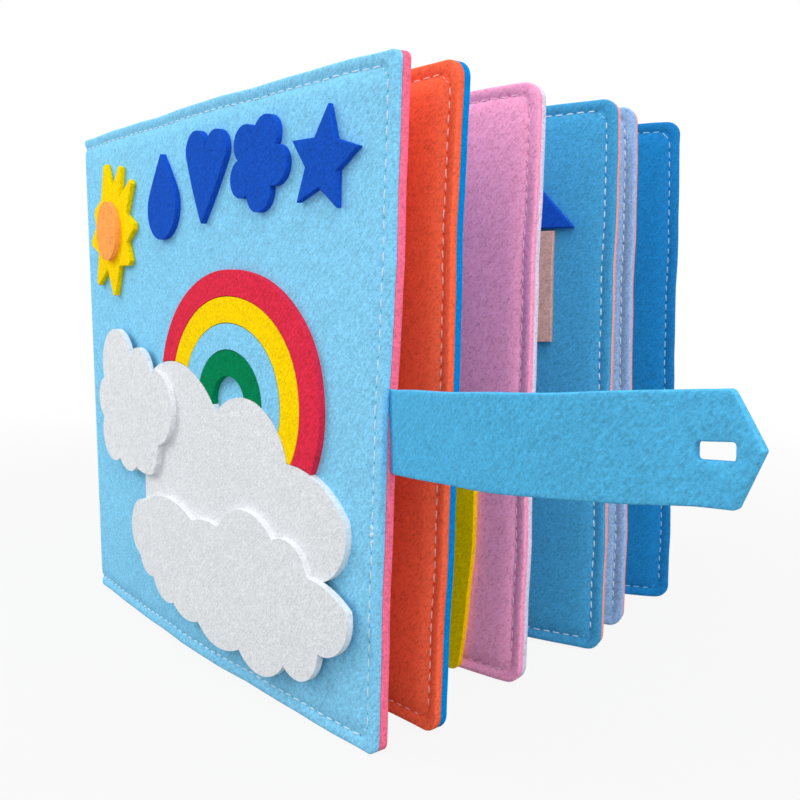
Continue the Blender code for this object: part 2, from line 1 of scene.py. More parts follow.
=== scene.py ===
# %% [markdown]
# # A felt quiet book, standing open
# A quiet book is a soft first toy: stiff felt covers, felt pages sewn in pairs, and felt shapes on
# them. The plain solids of one such book come in as a fixed frame. This lesson dresses them the way
# a maker works: each sheet is cut flat on the table, sewn, bent, and only then stood up.

import json
import math
from collections import namedtuple

import bmesh
import bpy
import numpy as np
from mathutils import Matrix, Quaternion, Vector


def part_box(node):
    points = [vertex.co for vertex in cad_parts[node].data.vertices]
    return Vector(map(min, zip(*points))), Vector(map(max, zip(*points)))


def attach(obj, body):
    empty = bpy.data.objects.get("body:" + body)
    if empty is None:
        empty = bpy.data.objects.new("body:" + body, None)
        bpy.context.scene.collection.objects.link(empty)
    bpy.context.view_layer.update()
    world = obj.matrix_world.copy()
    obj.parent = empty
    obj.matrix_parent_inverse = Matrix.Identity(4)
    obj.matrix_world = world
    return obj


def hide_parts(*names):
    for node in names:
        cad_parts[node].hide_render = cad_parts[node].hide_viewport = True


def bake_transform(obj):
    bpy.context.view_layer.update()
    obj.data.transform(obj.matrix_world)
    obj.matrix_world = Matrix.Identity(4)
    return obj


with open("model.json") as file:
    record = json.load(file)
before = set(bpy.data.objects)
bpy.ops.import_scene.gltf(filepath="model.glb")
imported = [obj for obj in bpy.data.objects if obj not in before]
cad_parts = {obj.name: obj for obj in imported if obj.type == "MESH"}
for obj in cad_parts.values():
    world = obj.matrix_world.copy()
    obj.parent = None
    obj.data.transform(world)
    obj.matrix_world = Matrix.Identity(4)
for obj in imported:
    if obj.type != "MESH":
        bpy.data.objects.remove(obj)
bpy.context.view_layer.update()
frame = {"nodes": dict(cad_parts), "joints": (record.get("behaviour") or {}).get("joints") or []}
MM = 0.001

# %% [markdown]
# ## Where the camera stood
# The book was photographed from just in front of its fore edges, so near that the front cover grows
# towards the viewer. A camera set close, with a normal lens, gives the same strong perspective. Its
# small shift only frames the book as the photograph does.

# %% Camera
CAMERA_PLACE = (-0.16935, -0.45093, 0.14195)
CAMERA_AZIMUTH = math.radians(31.56)
CAMERA_PITCH = math.radians(6.026)
CAMERA_ROLL = math.radians(-0.671)
CAMERA_LENS = 42.71
CAMERA_SHIFT = (0.0524, -0.0174)


def add_camera():
    bpy.ops.object.camera_add(location=CAMERA_PLACE)
    camera = bpy.context.active_object
    level = Vector((math.sin(CAMERA_AZIMUTH), math.cos(CAMERA_AZIMUTH), 0)) * math.cos(CAMERA_PITCH)
    look = level - Vector((0, 0, math.sin(CAMERA_PITCH)))
    aim = look.to_track_quat("-Z", "Y") @ Quaternion((0, 0, 1), CAMERA_ROLL)
    camera.rotation_euler = aim.to_euler()
    camera.data.lens = CAMERA_LENS
    camera.data.shift_x, camera.data.shift_y = CAMERA_SHIFT
    bpy.context.scene.camera = camera
    return camera


camera = add_camera()
print("camera at", CAMERA_PLACE, "with a", CAMERA_LENS, "mm lens")

# %% [markdown]
# ## Reading the fan from the frame
# A cover or a page is a leaf: it turns on an upright line at the spine and runs away from it in a
# straight line. A leaf's flat layout has x away from the hinge, y up and z towards the front cover's
# side. Where a leaf folds out of the spine, its path is a straight, an arc and a straight, so one
# rule can fold any flat point of it. The rule is written once and used for cloth, shapes and thread.

# %% Leaves and how they fold
joints = {joint["name"]: joint for joint in frame["joints"]}
Leaf = namedtuple("Leaf", "body hinge start heading reach bow lean twist growth wave")

COVER_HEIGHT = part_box("front_cover_outer")[1].z
SPINE_HEADING = {"front": -math.pi, "back": 0.0}
FOLD_REACH = 5.0 * MM


def hinge_of(joint):
    return np.array(joints[joint]["pos_m"][:2])


def heading_of(node):
    """The way a flat upright solid runs from the spine: the long axis of its plan."""
    plan = np.array([vertex.co[:2] for vertex in frame["nodes"][node].data.vertices])
    plan = np.unique(np.round(plan, 6), axis=0)
    along = np.linalg.eigh(np.cov((plan - plan.mean(0)).T))[1][:, 1]
    along = -along if along[1] > 0 else along
    return math.atan2(along[1], along[0])


def ahead(angle):
    return np.stack([np.cos(angle), np.sin(angle)], -1)


def left_of(angle):
    return np.stack([-np.sin(angle), np.cos(angle)], -1)


def placed(leaf, flat):
    """World places of flat points, with the leaf folded at its hinge and stood up."""
    turn = leaf.heading - leaf.start
    side = math.copysign(1, turn)
    radius = leaf.reach / math.tan(abs(turn) / 2) if leaf.reach else 0.0
    arc = radius * abs(turn)
    first = leaf.reach - arc
    share = np.clip((flat[:, 0] - first) / arc, 0, 1) if arc else np.ones(len(flat))
    angle = leaf.start + turn * share
    centre = leaf.hinge - leaf.reach * ahead(leaf.start) + side * radius * left_of(leaf.start)
    path = centre - side * radius * left_of(angle) if arc else leaf.hinge + 0 * ahead(angle)
    path = path + (flat[:, 0] - first - arc * share)[:, None] * ahead(angle)
    path = path - flat[:, 2][:, None] * left_of(angle)
    return np.column_stack([path, flat[:, 1]])


# A ripple wave has its radians per metre along x and along y, then the radians by which a leaf's own
# number shifts it. An edge wave runs one way only, so it has one rate and its shift.
RIPPLE = 0.7 * MM
RIPPLE_WAVES = ((31, 17, 5), (-11, 23, 3))
RIPPLE_RISE = 4
WANDER = 0.22 * MM
FORE_EDGE_WAVES = ((95, 7), (210, 1))
LEVEL_EDGE_WAVES = ((88, 4), (190, 2))
QUICK_WAVE_SHARE = 0.6
WANDER_RISE = 9


def wander(place, waves, number):
    """A slow wave along an edge with a quicker and smaller one on it."""
    (slow, slow_shift), (quick, quick_shift) = waves
    wave = np.sin(slow * place + slow_shift * number)
    return wave + QUICK_WAVE_SHARE * np.sin(quick * place + quick_shift * number)


def softened(leaf, flat):
    """Flat points after the leaf has bowed, leaned, twisted and waved, as soft felt does."""
    x, y, z = flat.T
    width = leaf_width(leaf)
    out = np.clip(x / width, 0, 1)
    up = 2 * y / COVER_HEIGHT - 1
    hump = np.sin(math.pi * out) ** (1 if leaf.body == "front_cover" else 2)
    bend = leaf.bow * hump - leaf.twist * up * np.clip(x / width, 0, None)
    ripple = math.prod(np.sin(a * x + b * y + c * leaf.wave) for a, b, c in RIPPLE_WAVES)
    fore_edge = WANDER * wander(y, FORE_EDGE_WAVES, leaf.wave)
    level_edge = WANDER * wander(x, LEVEL_EDGE_WAVES, leaf.wave)
    return np.column_stack([
        x + (leaf.growth + leaf.lean * up + fore_edge * out) * out,
        y + level_edge * up * np.clip(out * WANDER_RISE, 0, 1),
        z + bend + RIPPLE * ripple * np.clip(out * RIPPLE_RISE, 0, 1),
    ])


def leaf_width(leaf):
    return COVER_WIDTH if "cover" in leaf.body else PAGE_END


def add_leaf(body, joint, node, wave, bends, reach=0.0, start=0.0):
    return Leaf(body, hinge_of(joint), start, heading_of(node), reach, *bends, wave)


def flat_place(leaf, point):
    """The flat place of a world point that lies on the leaf's straight part."""
    offset = np.array(point[:2]) - leaf.hinge
    along, across = ahead(leaf.heading), left_of(leaf.heading)
    return np.array([offset @ along, point[2], -(offset @ across)])


# How far each leaf bows, leans along its fore edge, twists and is wider or narrower than its cut
COVER_BENDS = {
    "front": (3.3 * MM, 0.3 * MM, 5.6 * MM, -0.3 * MM),
    "back": (-3.0 * MM, 1.0 * MM, 0.0, 0.0),
}
PAGE_BENDS = (
    (0.1 * MM, 1.4 * MM, 4.1 * MM, 3.7 * MM),
    (-0.5 * MM, 1.8 * MM, 2.1 * MM, -3.1 * MM),
    (0.4 * MM, 1.3 * MM, 1.8 * MM, 2.4 * MM),
    (0.0 * MM, 1.8 * MM, -3.4 * MM, -2.6 * MM),
    (0.0 * MM, 0.4 * MM, -3.7 * MM, 3.0 * MM),
)
front = add_leaf(
    "front_cover", "front_cover_hinge", "front_cover_outer", 1, COVER_BENDS["front"],
    FOLD_REACH, SPINE_HEADING["front"],
)
back = add_leaf(
    "back_cover", "back_cover_hinge", "back_cover_outer", 2, COVER_BENDS["back"],
    FOLD_REACH, SPINE_HEADING["back"],
)
pages = [
    add_leaf(f"page_{n}", f"page_{n}_hinge", f"page_{n}_front", n + 2, bends)
    for n, bends in enumerate(PAGE_BENDS, start=1)
]


def flat_reach(leaf, node):
    """The lowest and highest flat corners of a CAD solid on a leaf."""
    points = [flat_place(leaf, vertex.co) for vertex in frame["nodes"][node].data.vertices]
    return np.min(points, 0), np.max(points, 0)


COVER_WIDTH = flat_reach(front, "front_cover_outer")[1][0]
PAGE_START, PAGE_LOW = flat_reach(pages[0], "page_1_front")[0][:2]
PAGE_END, PAGE_HIGH = flat_reach(pages[0], "page_1_front")[1][:2]
OUTER_FACE = flat_reach(front, "front_cover_outer")[1][2]
LINING_FACE = -flat_reach(front, "front_cover_lining")[0][2]
PAGE_FACE = flat_reach(pages[0], "page_1_front")[1][2]
for leaf in (front, *pages, back):
    print(leaf.body, "heads", round(math.degrees(leaf.heading) + 90, 2), "degrees off square")

# %% [markdown]
# ## Tools for the cutting table
# Every sheet starts as a primitive of its own size, is shaped in edit mode with bevels and bisects,
# and gets a grid of cuts so that it can bend. Edges are chosen by their place and by the faces
# beside them. Each point keeps its flat place in an attribute named flat, so the felt's grain runs
# on over folds, and a second attribute marks the cut sides and how much painted shade they take; a
# negative value paints a highlight on them instead.

# %% Choosing, cutting and rounding
RIM = 0.55 * MM
TINY = 0.02 * MM


def pick(item):
    bpy.ops.object.select_all(action="DESELECT")
    item.select_set(True)
    bpy.context.view_layer.objects.active = item


def edit(item):
    pick(item)
    bpy.ops.object.mode_set(mode="EDIT")
    bpy.ops.mesh.select_mode(type="EDGE")


def leave():
    bpy.ops.object.mode_set(mode="OBJECT")


def add_block(name, low, high):
    low, high = Vector(low), Vector(high)
    bpy.ops.object.select_all(action="DESELECT")
    bpy.ops.mesh.primitive_cube_add(size=1, location=(low + high) / 2, scale=high - low)
    item = bpy.context.active_object
    item.name = item.data.name = name
    bpy.ops.object.transform_apply(location=True, rotation=False, scale=True)
    return item


def select_edges(item, rule):
    bpy.ops.mesh.select_all(action="DESELECT")
    shape = bmesh.from_edit_mesh(item.data)
    for edge in shape.edges:
        if rule(edge, (edge.verts[0].co + edge.verts[1].co) / 2):
            edge.select_set(True)
    bmesh.update_edit_mesh(item.data)


def is_upright(edge):
    run = edge.verts[1].co - edge.verts[0].co
    return abs(run.z) > 0.9 * run.length


def is_rim(edge):
    """True where a flat face meets a cut side."""
    slopes = sorted(abs(face.normal.z) for face in edge.link_faces)
    return len(slopes) == 2 and slopes[0] < 0.5 < slopes[1]


def round_corners(item, radius, steps, rule):
    select_edges(item, lambda edge, middle: is_upright(edge) and rule(middle))
    bpy.ops.mesh.bevel(offset=radius, segments=steps, affect="EDGES")


def round_rims(item, rule=lambda middle: True, width=RIM):
    select_edges(item, lambda edge, middle: is_rim(edge) and rule(middle))
    bpy.ops.mesh.bevel(offset=width, segments=2, affect="EDGES", clamp_overlap=True)


def slice_at(places, normal):
    for place in places:
        bpy.ops.mesh.select_all(action="SELECT")
        bpy.ops.mesh.bisect(plane_co=Vector(normal) * place, plane_no=normal)


def steps_between(low, high, about):
    count = max(1, round((high - low) / about))
    return list(np.linspace(low, high, count + 1)[1:-1])


# %% Keeping the flat place, softening and standing up
def points_of(item):
    values = np.empty(len(item.data.vertices) * 3, np.float32)
    item.data.vertices.foreach_get("co", values)
    return values.reshape(-1, 3).astype(float)


def set_points(item, points):
    item.data.vertices.foreach_set("co", points.astype(np.float32).ravel())
    item.data.update()


piece_count = 0


def keep_flat(item, rim_shade_share=1.0):
    """Stores flat places, moved apart in z so that no two sheets share their grain, and the painted shade of
    the cut sides.
    """
    global piece_count
    piece_count += 1
    flat = points_of(item)
    low, high = flat[:, 2].min(), flat[:, 2].max()
    inside = (flat[:, 2] > low + 0.9 * RIM) & (flat[:, 2] < high - 0.9 * RIM)
    spread = flat + np.array([0, 0, 0.037 * piece_count])
    place = item.data.attributes.new("flat", "FLOAT_VECTOR", "POINT")
    place.data.foreach_set("vector", spread.astype(np.float32).ravel())
    # How much painted shade each cut side takes; a negative share paints a highlight instead.
    rim = item.data.attributes.new("rim", "FLOAT", "POINT")
    rim.data.foreach_set("value", rim_shade_share * inside.astype(np.float32))


def stand(item, leaf):
    set_points(item, placed(leaf, softened(leaf, points_of(item))))


def smooth(item, angle=50):
    pick(item)
    bpy.ops.object.shade_smooth_by_angle(angle=math.radians(angle))


def dress(item, material):
    item.data.materials.clear()
    item.data.materials.append(material)


print("cutting table ready")

# %% [markdown]
# ## Felt
# Craft felt is fibre pressed flat. Close up it shows a fine grain, soft mottling, broad faint
# patches, and single fibres that lie in curves. A photograph of felt would repeat and tie the book
# to one light, so the felt is drawn by noise. The level lines of a stretched noise make long thin
# curves, which serve as the loose fibres. One node group holds it all and each colour reuses it. Its
# rim input paints shade on the cut sides of a thick shape, which deepens their colour, and paints a
# highlight on a strap's, which pales them.

# %% The felt node group


def screen(red, green, blue):
    """A colour as a screen shows it, as the linear values that a shader takes."""
    shares = (red / 255, green / 255, blue / 255)
    return tuple(s / 12.92 if s <= 0.04045 else ((s + 0.055) / 1.055) ** 2.4 for s in shares)


def new_group(name, inputs, outputs):
    group = bpy.data.node_groups.new(name, "ShaderNodeTree")
    for label, kind in inputs:
        group.interface.new_socket(label, in_out="INPUT", socket_type=f"NodeSocket{kind}")
    for label, kind in outputs:
        group.interface.new_socket(label, in_out="OUTPUT", socket_type=f"NodeSocket{kind}")
    return group, group.nodes.new("NodeGroupInput"), group.nodes.new("NodeGroupOutput")


def feed(tree, socket, value):
    if isinstance(value, bpy.types.NodeSocket):
        tree.links.new(value, socket)
    else:
        socket.default_value = value


def calc(tree, operation, *values, clamp=False):
    node = tree.nodes.new("ShaderNodeMath")
    node.operation = operation
    node.use_clamp = clamp
    for socket, value in zip(node.inputs, values):
        feed(tree, socket, value)
    return node.outputs[0]


def noise(tree, place, scale, detail=2.0, roughness=0.5, distortion=0.0):
    node = tree.nodes.new("ShaderNodeTexNoise")
    feed(tree, node.inputs["Vector"], place)
    node.inputs["Scale"].default_value = scale
    node.inputs["Detail"].default_value = detail
    node.inputs["Roughness"].default_value = roughness
    node.inputs["Distortion"].default_value = distortion
    return node.outputs["Fac"]


def stretched(tree, place, degrees, scales):
    node = tree.nodes.new("ShaderNodeMapping")
    node.vector_type = "TEXTURE"
    feed(tree, node.inputs["Vector"], place)
    node.inputs["Rotation"].default_value = (0, 0, math.radians(degrees))
    node.inputs["Scale"].default_value = [1 / scale for scale in scales]
    return node.outputs["Vector"]


def ramp(tree, value, low, high, to_low=0.0, to_high=1.0):
    node = tree.nodes.new("ShaderNodeMapRange")
    node.interpolation_type = "SMOOTHSTEP"
    values = (value, low, high, to_low, to_high)
    for label, entry in zip(("Value", "From Min", "From Max", "To Min", "To Max"), values):
        feed(tree, node.inputs[label], entry)
    return node.outputs["Result"]


def blend_colours(tree, share, first, second):
    node = tree.nodes.new("ShaderNodeMix")
    node.data_type = "RGBA"
    feed(tree, node.inputs["Factor"], share)
    feed(tree, node.inputs["A"], first)
    feed(tree, node.inputs["B"], second)
    return node.outputs["Result"]


GRAIN_SCALE = 1100
STREAK_DEGREES = 45
STREAK_SCALES = (500, 1500, 900)
MOTTLE_SCALE = 210
PATCH_SCALE = 28
# How far painted shade deepens the colour of the cut sides; a negative rim value paints a highlight.
RIM_PAINTED_SHADE = 0.8
FIBRE_DEGREES = (38, -47, 84)
FIBRE_SCALES = (150, 620, 300)
FIBRE_WIDTH = 0.02
FIBRE_LIGHT = 1.7
FIBRE_SHARE = 0.35
SHADE_SHARES = {"grain": 0.75, "streaks": 0.85, "mottle": 0.14, "patches": 0.08}
HEIGHT_SHARES = {"streaks": 0.55, "grain": 0.45, "mottle": 0.30, "fibres": 0.10, "marks": -1.3}
# Painted shade in the needle holes.
MARK_SHADE = -0.5


def centred(tree, value):
    return calc(tree, "SUBTRACT", value, 0.5)


def scaled(tree, colour, light):
    node = tree.nodes.new("ShaderNodeVectorMath")
    node.operation = "SCALE"
    feed(tree, node.inputs[0], colour)
    feed(tree, node.inputs["Scale"], light)
    return node.outputs[0]


def felt_group():
    inputs = (
        ("Place", "Vector"), ("Colour", "Color"), ("Rim", "Float"), ("Marks", "Float"), ("Contrast", "Float")
    )
    outputs = (("Colour", "Color"), ("Roughness", "Float"), ("Height", "Float"))
    group, start, end = new_group("pressed_felt", inputs, outputs)
    place, colour, rim, marks, contrast = start.outputs[:5]
    grain = noise(group, place, GRAIN_SCALE, detail=2, roughness=0.6)
    lie = stretched(group, place, STREAK_DEGREES, STREAK_SCALES)
    streaks = noise(group, lie, 1.0, detail=2, roughness=0.6, distortion=0.7)
    mottle = noise(group, place, MOTTLE_SCALE, detail=3, roughness=0.55)
    patches = noise(group, place, PATCH_SCALE, detail=2)
    fibres = 0.0
    for degrees in FIBRE_DEGREES:
        lie = stretched(group, place, degrees, FIBRE_SCALES)
        level = calc(group, "ABSOLUTE", centred(group, noise(group, lie, 1.0, 1.0)))
        fibres = calc(group, "MAXIMUM", fibres, ramp(group, level, 0.0, FIBRE_WIDTH, 1.0, 0.0))
    patterns = {
        "grain": grain, "streaks": streaks, "mottle": mottle, "patches": patches, "fibres": fibres,
        "marks": marks,
    }
    shade = 0.0
    for label, share in SHADE_SHARES.items():
        shade = calc(group, "MULTIPLY_ADD", centred(group, patterns[label]), share, shade)
    light = calc(group, "MULTIPLY_ADD", shade, contrast, 1.0)
    # The needle holes get painted shade.
    light = calc(group, "MULTIPLY_ADD", marks, MARK_SHADE, light)
    loose = calc(group, "MULTIPLY", calc(group, "MULTIPLY", fibres, mottle), FIBRE_SHARE)
    shaded, lifted = scaled(group, colour, light), scaled(group, colour, FIBRE_LIGHT)
    # A gamma on the rim value paints shade on the cut sides, and a highlight where the value is negative.
    rim_shaded = group.nodes.new("ShaderNodeGamma")
    group.links.new(blend_colours(group, loose, shaded, lifted), rim_shaded.inputs["Color"])
    group.links.new(calc(group, "MULTIPLY_ADD", rim, RIM_PAINTED_SHADE, 1.0), rim_shaded.inputs["Gamma"])
    group.links.new(rim_shaded.outputs["Color"], end.inputs["Colour"])
    group.links.new(ramp(group, grain, 0.2, 0.8, 0.86, 1.0), end.inputs["Roughness"])
    height = 0.0
    for label, share in HEIGHT_SHARES.items():
        height = calc(group, "MULTIPLY_ADD", patterns[label], share, height)
    group.links.new(height, end.inputs["Height"])
    return group


pressed_felt = felt_group()
print("felt group has", len(pressed_felt.nodes), "nodes")

# %% [markdown]
# ## Where the needle went
# A seam presses the felt down, and each stitch ends in a needle hole. The pressed line is modelled
# in the sheet, and the holes are a mask that dents the felt and paints shade into it at every
# stitch's end. The same numbers place the thread, so holes and stitches meet. A page's seam is a
# closed rectangle, and the cover's is open at the spine, because it runs on over the spine to the
# other cover.

# %% Seams
Seam = namedtuple("Seam", "low_x high_x low_y high_y cut pitch")
COVER_INSET = 4.0 * MM
COVER_PITCH = 4.6 * MM
COVER_CUT_SHARE = 0.7
PAGE_INSET = 4.0 * MM
PAGE_PITCH = 4.0 * MM
PAGE_CUT_SHARE = 0.9
SEAM_WIDTH = 1.1 * MM
PRESS_SHARE = 0.32
HOLE_RADIUS = 0.42 * MM


def middle_of_spine(leaf):
    """The flat x of the spine's middle on a cover's leaf."""
    turn = abs(leaf.heading - leaf.start)
    arc = leaf.reach * turn / math.tan(turn / 2)
    return 2 * leaf.reach - arc - abs(leaf.hinge[0])


def cover_seam(leaf):
    low = middle_of_spine(leaf)
    return Seam(
        low, COVER_WIDTH - COVER_INSET, COVER_INSET, COVER_HEIGHT - COVER_INSET,
        COVER_CUT_SHARE * COVER_PITCH, COVER_PITCH,
    )


page_seam = Seam(
    PAGE_START + PAGE_INSET, PAGE_END - PAGE_INSET, PAGE_LOW + PAGE_INSET, PAGE_HIGH - PAGE_INSET,
    PAGE_CUT_SHARE * PAGE_PITCH, PAGE_PITCH,
)


def even_pitch(length, pitch):
    return length / max(1, round(length / pitch))


def seam_distance(seam, x, y, is_open):
    """How far flat points lie from a seam, which cuts its corners short."""
    centre_y, half_y = (seam.low_y + seam.high_y) / 2, (seam.high_y - seam.low_y) / 2
    low_x = seam.low_x - (1.0 if is_open else 0.0)
    centre_x, half_x = (low_x + seam.high_x) / 2, (seam.high_x - low_x) / 2
    over_x = np.abs(x - centre_x) - half_x + seam.cut
    over_y = np.abs(y - centre_y) - half_y + seam.cut
    outside = np.hypot(np.maximum(over_x, 0), np.maximum(over_y, 0))
    return np.abs(outside + np.minimum(np.maximum(over_x, over_y), 0) - seam.cut)


def press_seam(item, seam, is_open):
    """Presses a sheet towards its partner along the seam."""
    flat = points_of(item)
    away = seam_distance(seam, flat[:, 0], flat[:, 1], is_open)
    flat[:, 2] *= 1 - PRESS_SHARE * np.exp(-((away / SEAM_WIDTH) ** 2))
    set_points(item, flat)


def hole_line(tree, across, along, line, end, pitch):
    """A mask of needle holes on one straight line, counted back from its end."""
    off = calc(tree, "SUBTRACT", across, line)
    turns = calc(tree, "MULTIPLY", calc(tree, "SUBTRACT", along, end), 1 / pitch)
    beside = calc(tree, "SUBTRACT", turns, calc(tree, "ROUND", turns))
    beside = calc(tree, "MULTIPLY", beside, pitch)
    away = calc(tree, "SQRT", calc(
        tree, "ADD", calc(tree, "MULTIPLY", off, off), calc(tree, "MULTIPLY", beside, beside)
    ))
    hole = ramp(tree, away, 0.0, HOLE_RADIUS, 1.0, 0.0)
    before = calc(tree, "LESS_THAN", along, end + pitch / 4)
    return calc(tree, "MULTIPLY", hole, before)


def seam_group(name, seam, is_open):
    """The needle holes of a whole seam. Mirrored sides are folded onto each other."""
    group, start, end = new_group(name, (("Place", "Vector"),), (("Marks", "Float"),))
    split = group.nodes.new("ShaderNodeSeparateXYZ")
    group.links.new(start.outputs["Place"], split.inputs[0])
    x, y = split.outputs["X"], split.outputs["Y"]
    centre_y, half_y = (seam.low_y + seam.high_y) / 2, (seam.high_y - seam.low_y) / 2
    fold_y = calc(group, "ABSOLUTE", calc(group, "SUBTRACT", y, centre_y))
    upright = even_pitch(2 * (half_y - seam.cut), seam.pitch)
    if is_open:
        level = even_pitch(seam.high_x - seam.cut - seam.low_x, seam.pitch)
        sides = hole_line(group, fold_y, x, half_y, seam.high_x - seam.cut, level)
        ends = hole_line(group, x, fold_y, seam.high_x, half_y - seam.cut, upright)
    else:
        centre_x, half_x = (seam.low_x + seam.high_x) / 2, (seam.high_x - seam.low_x) / 2
        fold_x = calc(group, "ABSOLUTE", calc(group, "SUBTRACT", x, centre_x))
        level = even_pitch(2 * (half_x - seam.cut), seam.pitch)
        sides = hole_line(group, fold_y, fold_x, half_y, half_x - seam.cut, level)
        ends = hole_line(group, fold_x, fold_y, half_x, half_y - seam.cut, upright)
    group.links.new(calc(group, "MAXIMUM", sides, ends), end.inputs["Marks"])
    return group


front_seam, back_seam = cover_seam(front), cover_seam(back)
SEAM_MARKS = {
    "front": seam_group("front_cover_needle_holes", front_seam, True),
    "back": seam_group("back_cover_needle_holes", back_seam, True),
    "page": seam_group("page_needle_holes", page_seam, False),
}
print("cover stitches are", round(even_pitch(200 * MM, COVER_PITCH) / MM, 2), "mm apart")

# %% [markdown]
# ## The colours of felt
# Each felt is its own material: the same group with its own colour and, on a sewn sheet, its own
# needle holes. A little sheen stands for the loose fibres that catch light at a grazing angle.

# %% Felt materials
FELT_BUMP = 0.22 * MM
FELT_SHEEN = 0.06
FELT_COLOURS = {
    "felt_light_blue": screen(133, 206, 242),
    "felt_pink_lining": screen(246, 120, 152),
    "felt_orange": screen(252, 110, 76),
    "felt_bright_blue": screen(0, 140, 215),
    "felt_candy_pink": screen(254, 166, 204),
    "felt_pale_lilac": screen(222, 212, 235),
    "felt_sky_blue": screen(72, 162, 211),
    "felt_salmon": screen(250, 168, 156),
    "felt_periwinkle": screen(152, 193, 242),
    "felt_cobalt": screen(33, 132, 202),
    "felt_mauve": screen(190, 150, 190),
    "felt_yellow": screen(254, 214, 2),
    "felt_amber": screen(255, 166, 86),
    "felt_red": screen(223, 47, 73),
    "felt_green": screen(0, 128, 80),
    "felt_navy": screen(24, 82, 190),
    "felt_beige": screen(211, 168, 159),
    "felt_white": screen(226, 229, 232),
}

# The strap is the same light blue felt, given its own darker and more saturated blue than the cover's.
STRAP_COLOUR = screen(84, 180, 226)
CONTRASTS = {"felt_white": 0.6}
FELT_SPECULAR = 0.04


def attribute(tree, name):
    node = tree.nodes.new("ShaderNodeAttribute")
    node.attribute_name = name
    return node


def plain_material(name, roughness):
    material = bpy.data.materials.new(name)
    material.use_nodes = True
    shader = material.node_tree.nodes["Principled BSDF"]
    shader.inputs["Roughness"].default_value = roughness
    return material, material.node_tree, shader


def felt_material(slot, seam=None, colour=None):
    colour = colour or FELT_COLOURS[slot]
    material, tree, shader = plain_material(f"{slot}_{seam}" if seam else slot, 0.95)
    place = attribute(tree, "flat").outputs["Vector"]
    felt = tree.nodes.new("ShaderNodeGroup")
    felt.node_tree = pressed_felt
    tree.links.new(place, felt.inputs["Place"])
    felt.inputs["Colour"].default_value = (*colour, 1)
    felt.inputs["Contrast"].default_value = CONTRASTS.get(slot, 1.0)
    # The cut sides' painted shade, as stored on the mesh.
    tree.links.new(attribute(tree, "rim").outputs["Fac"], felt.inputs["Rim"])
    if seam:
        marks = tree.nodes.new("ShaderNodeGroup")
        marks.node_tree = SEAM_MARKS[seam]
        tree.links.new(place, marks.inputs["Place"])
        tree.links.new(marks.outputs["Marks"], felt.inputs["Marks"])
    bump = tree.nodes.new("ShaderNodeBump")
    bump.inputs["Distance"].default_value = FELT_BUMP
    tree.links.new(felt.outputs["Height"], bump.inputs["Height"])
    tree.links.new(felt.outputs["Colour"], shader.inputs["Base Color"])
    tree.links.new(felt.outputs["Roughness"], shader.inputs["Roughness"])
    tree.links.new(bump.outputs["Normal"], shader.inputs["Normal"])
    shader.inputs["Specular IOR Level"].default_value = FELT_SPECULAR
    shader.inputs["Sheen Weight"].default_value = FELT_SHEEN
    shader.inputs["Sheen Roughness"].default_value = 0.6
    shader.inputs["Sheen Tint"].default_value = (*colour, 1)
    return material


felts = {slot: felt_material(slot) for slot in FELT_COLOURS}
strap_felt = felt_material("felt_light_blue", colour=STRAP_COLOUR)
print(len(felts), "felts")

# %% [markdown]
# ## Sheets
# A sewn sheet is a block as thick as the felt. Its fore corners are rounded with scissors, its rims
# are soft, and it is cut into a grid fine enough to bend, with extra cuts beside the seam so that
# the seam can press a narrow groove. The two sheets of a leaf share the plane z = 0.

# %% A sewn sheet
GRID = 10 * MM
GROOVE_CUTS = (-1.6 * MM, -0.7 * MM, 0.0, 0.7 * MM, 1.6 * MM)
SUPPORT = 0.7 * MM
# A little painted shade on a sewn sheet's cut sides.
SHEET_RIM_PAINTED_SHADE = 0.1


def around(lines):
    return [line + offset for line in lines for offset in GROOVE_CUTS]


def sewn_sheet(name, low, high, seam, corner, corner_steps, is_open, fold_cuts=()):
    item = add_block(name, low, high)
    edit(item)
    is_fore = lambda middle: middle.x > high[0] - TINY
    round_corners(item, corner, corner_steps, is_fore)
    root_corner = lambda middle: middle.x < low[0] + TINY
    if not is_open:
        round_corners(item, corner / 3, 2, root_corner)
    round_rims(item, lambda middle: not is_open or middle.x > low[0] + TINY)
    xs = [high[0] - RIM - SUPPORT, *around([seam.high_x]), *fold_cuts]
    if not is_open:
        xs += [low[0] + RIM + SUPPORT, *around([seam.low_x])]
    xs += steps_between(max(low[0], FOLD_REACH if is_open else 0), high[0], GRID)
    ys = [low[1] + RIM + SUPPORT, high[1] - RIM - SUPPORT, *around([seam.low_y, seam.high_y])]
    ys += steps_between(low[1], high[1], GRID)
    slice_at(sorted(xs), (1, 0, 0))
    slice_at(sorted(ys), (0, 1, 0))
    leave()
    keep_flat(item, SHEET_RIM_PAINTED_SHADE)
    press_seam(item, seam, is_open)
    return item


def fold_cuts_of(leaf):
    turn = abs(leaf.heading - leaf.start)
    arc = leaf.reach * turn / math.tan(turn / 2)
    cuts = np.linspace(leaf.reach - arc, leaf.reach, max(6, round(math.degrees(turn) / 7)))
    return list(cuts) + steps_between(middle_of_spine(leaf), leaf.reach - arc, GRID)


# %% [markdown]
# ## The covers
# The real cover is one long piece of light blue felt, lined with pink, that wraps from the front
# cover over the spine to the back cover. Here it is made in two halves that meet in the middle of
# the spine, because each half can then bend round its own hinge without a seam. The felt follows
# the spine before the fold, the cover after it, and turns smoothly between.

# %% Outer felt and lining
COVER_CORNER = 2.5 * MM


def cover_sheet(name, leaf, slot, seam, side, low_z, high_z, nodes):
    low_x = middle_of_spine(leaf)
    item = sewn_sheet(
        name, (low_x, 0, low_z), (COVER_WIDTH, COVER_HEIGHT, high_z), seam,
        COVER_CORNER, 4, True, fold_cuts_of(leaf),
    )
    stand(item, leaf)
    smooth(item)
    dress(item, felt_material(slot, side))
    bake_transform(item)
    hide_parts(*nodes)
    return item


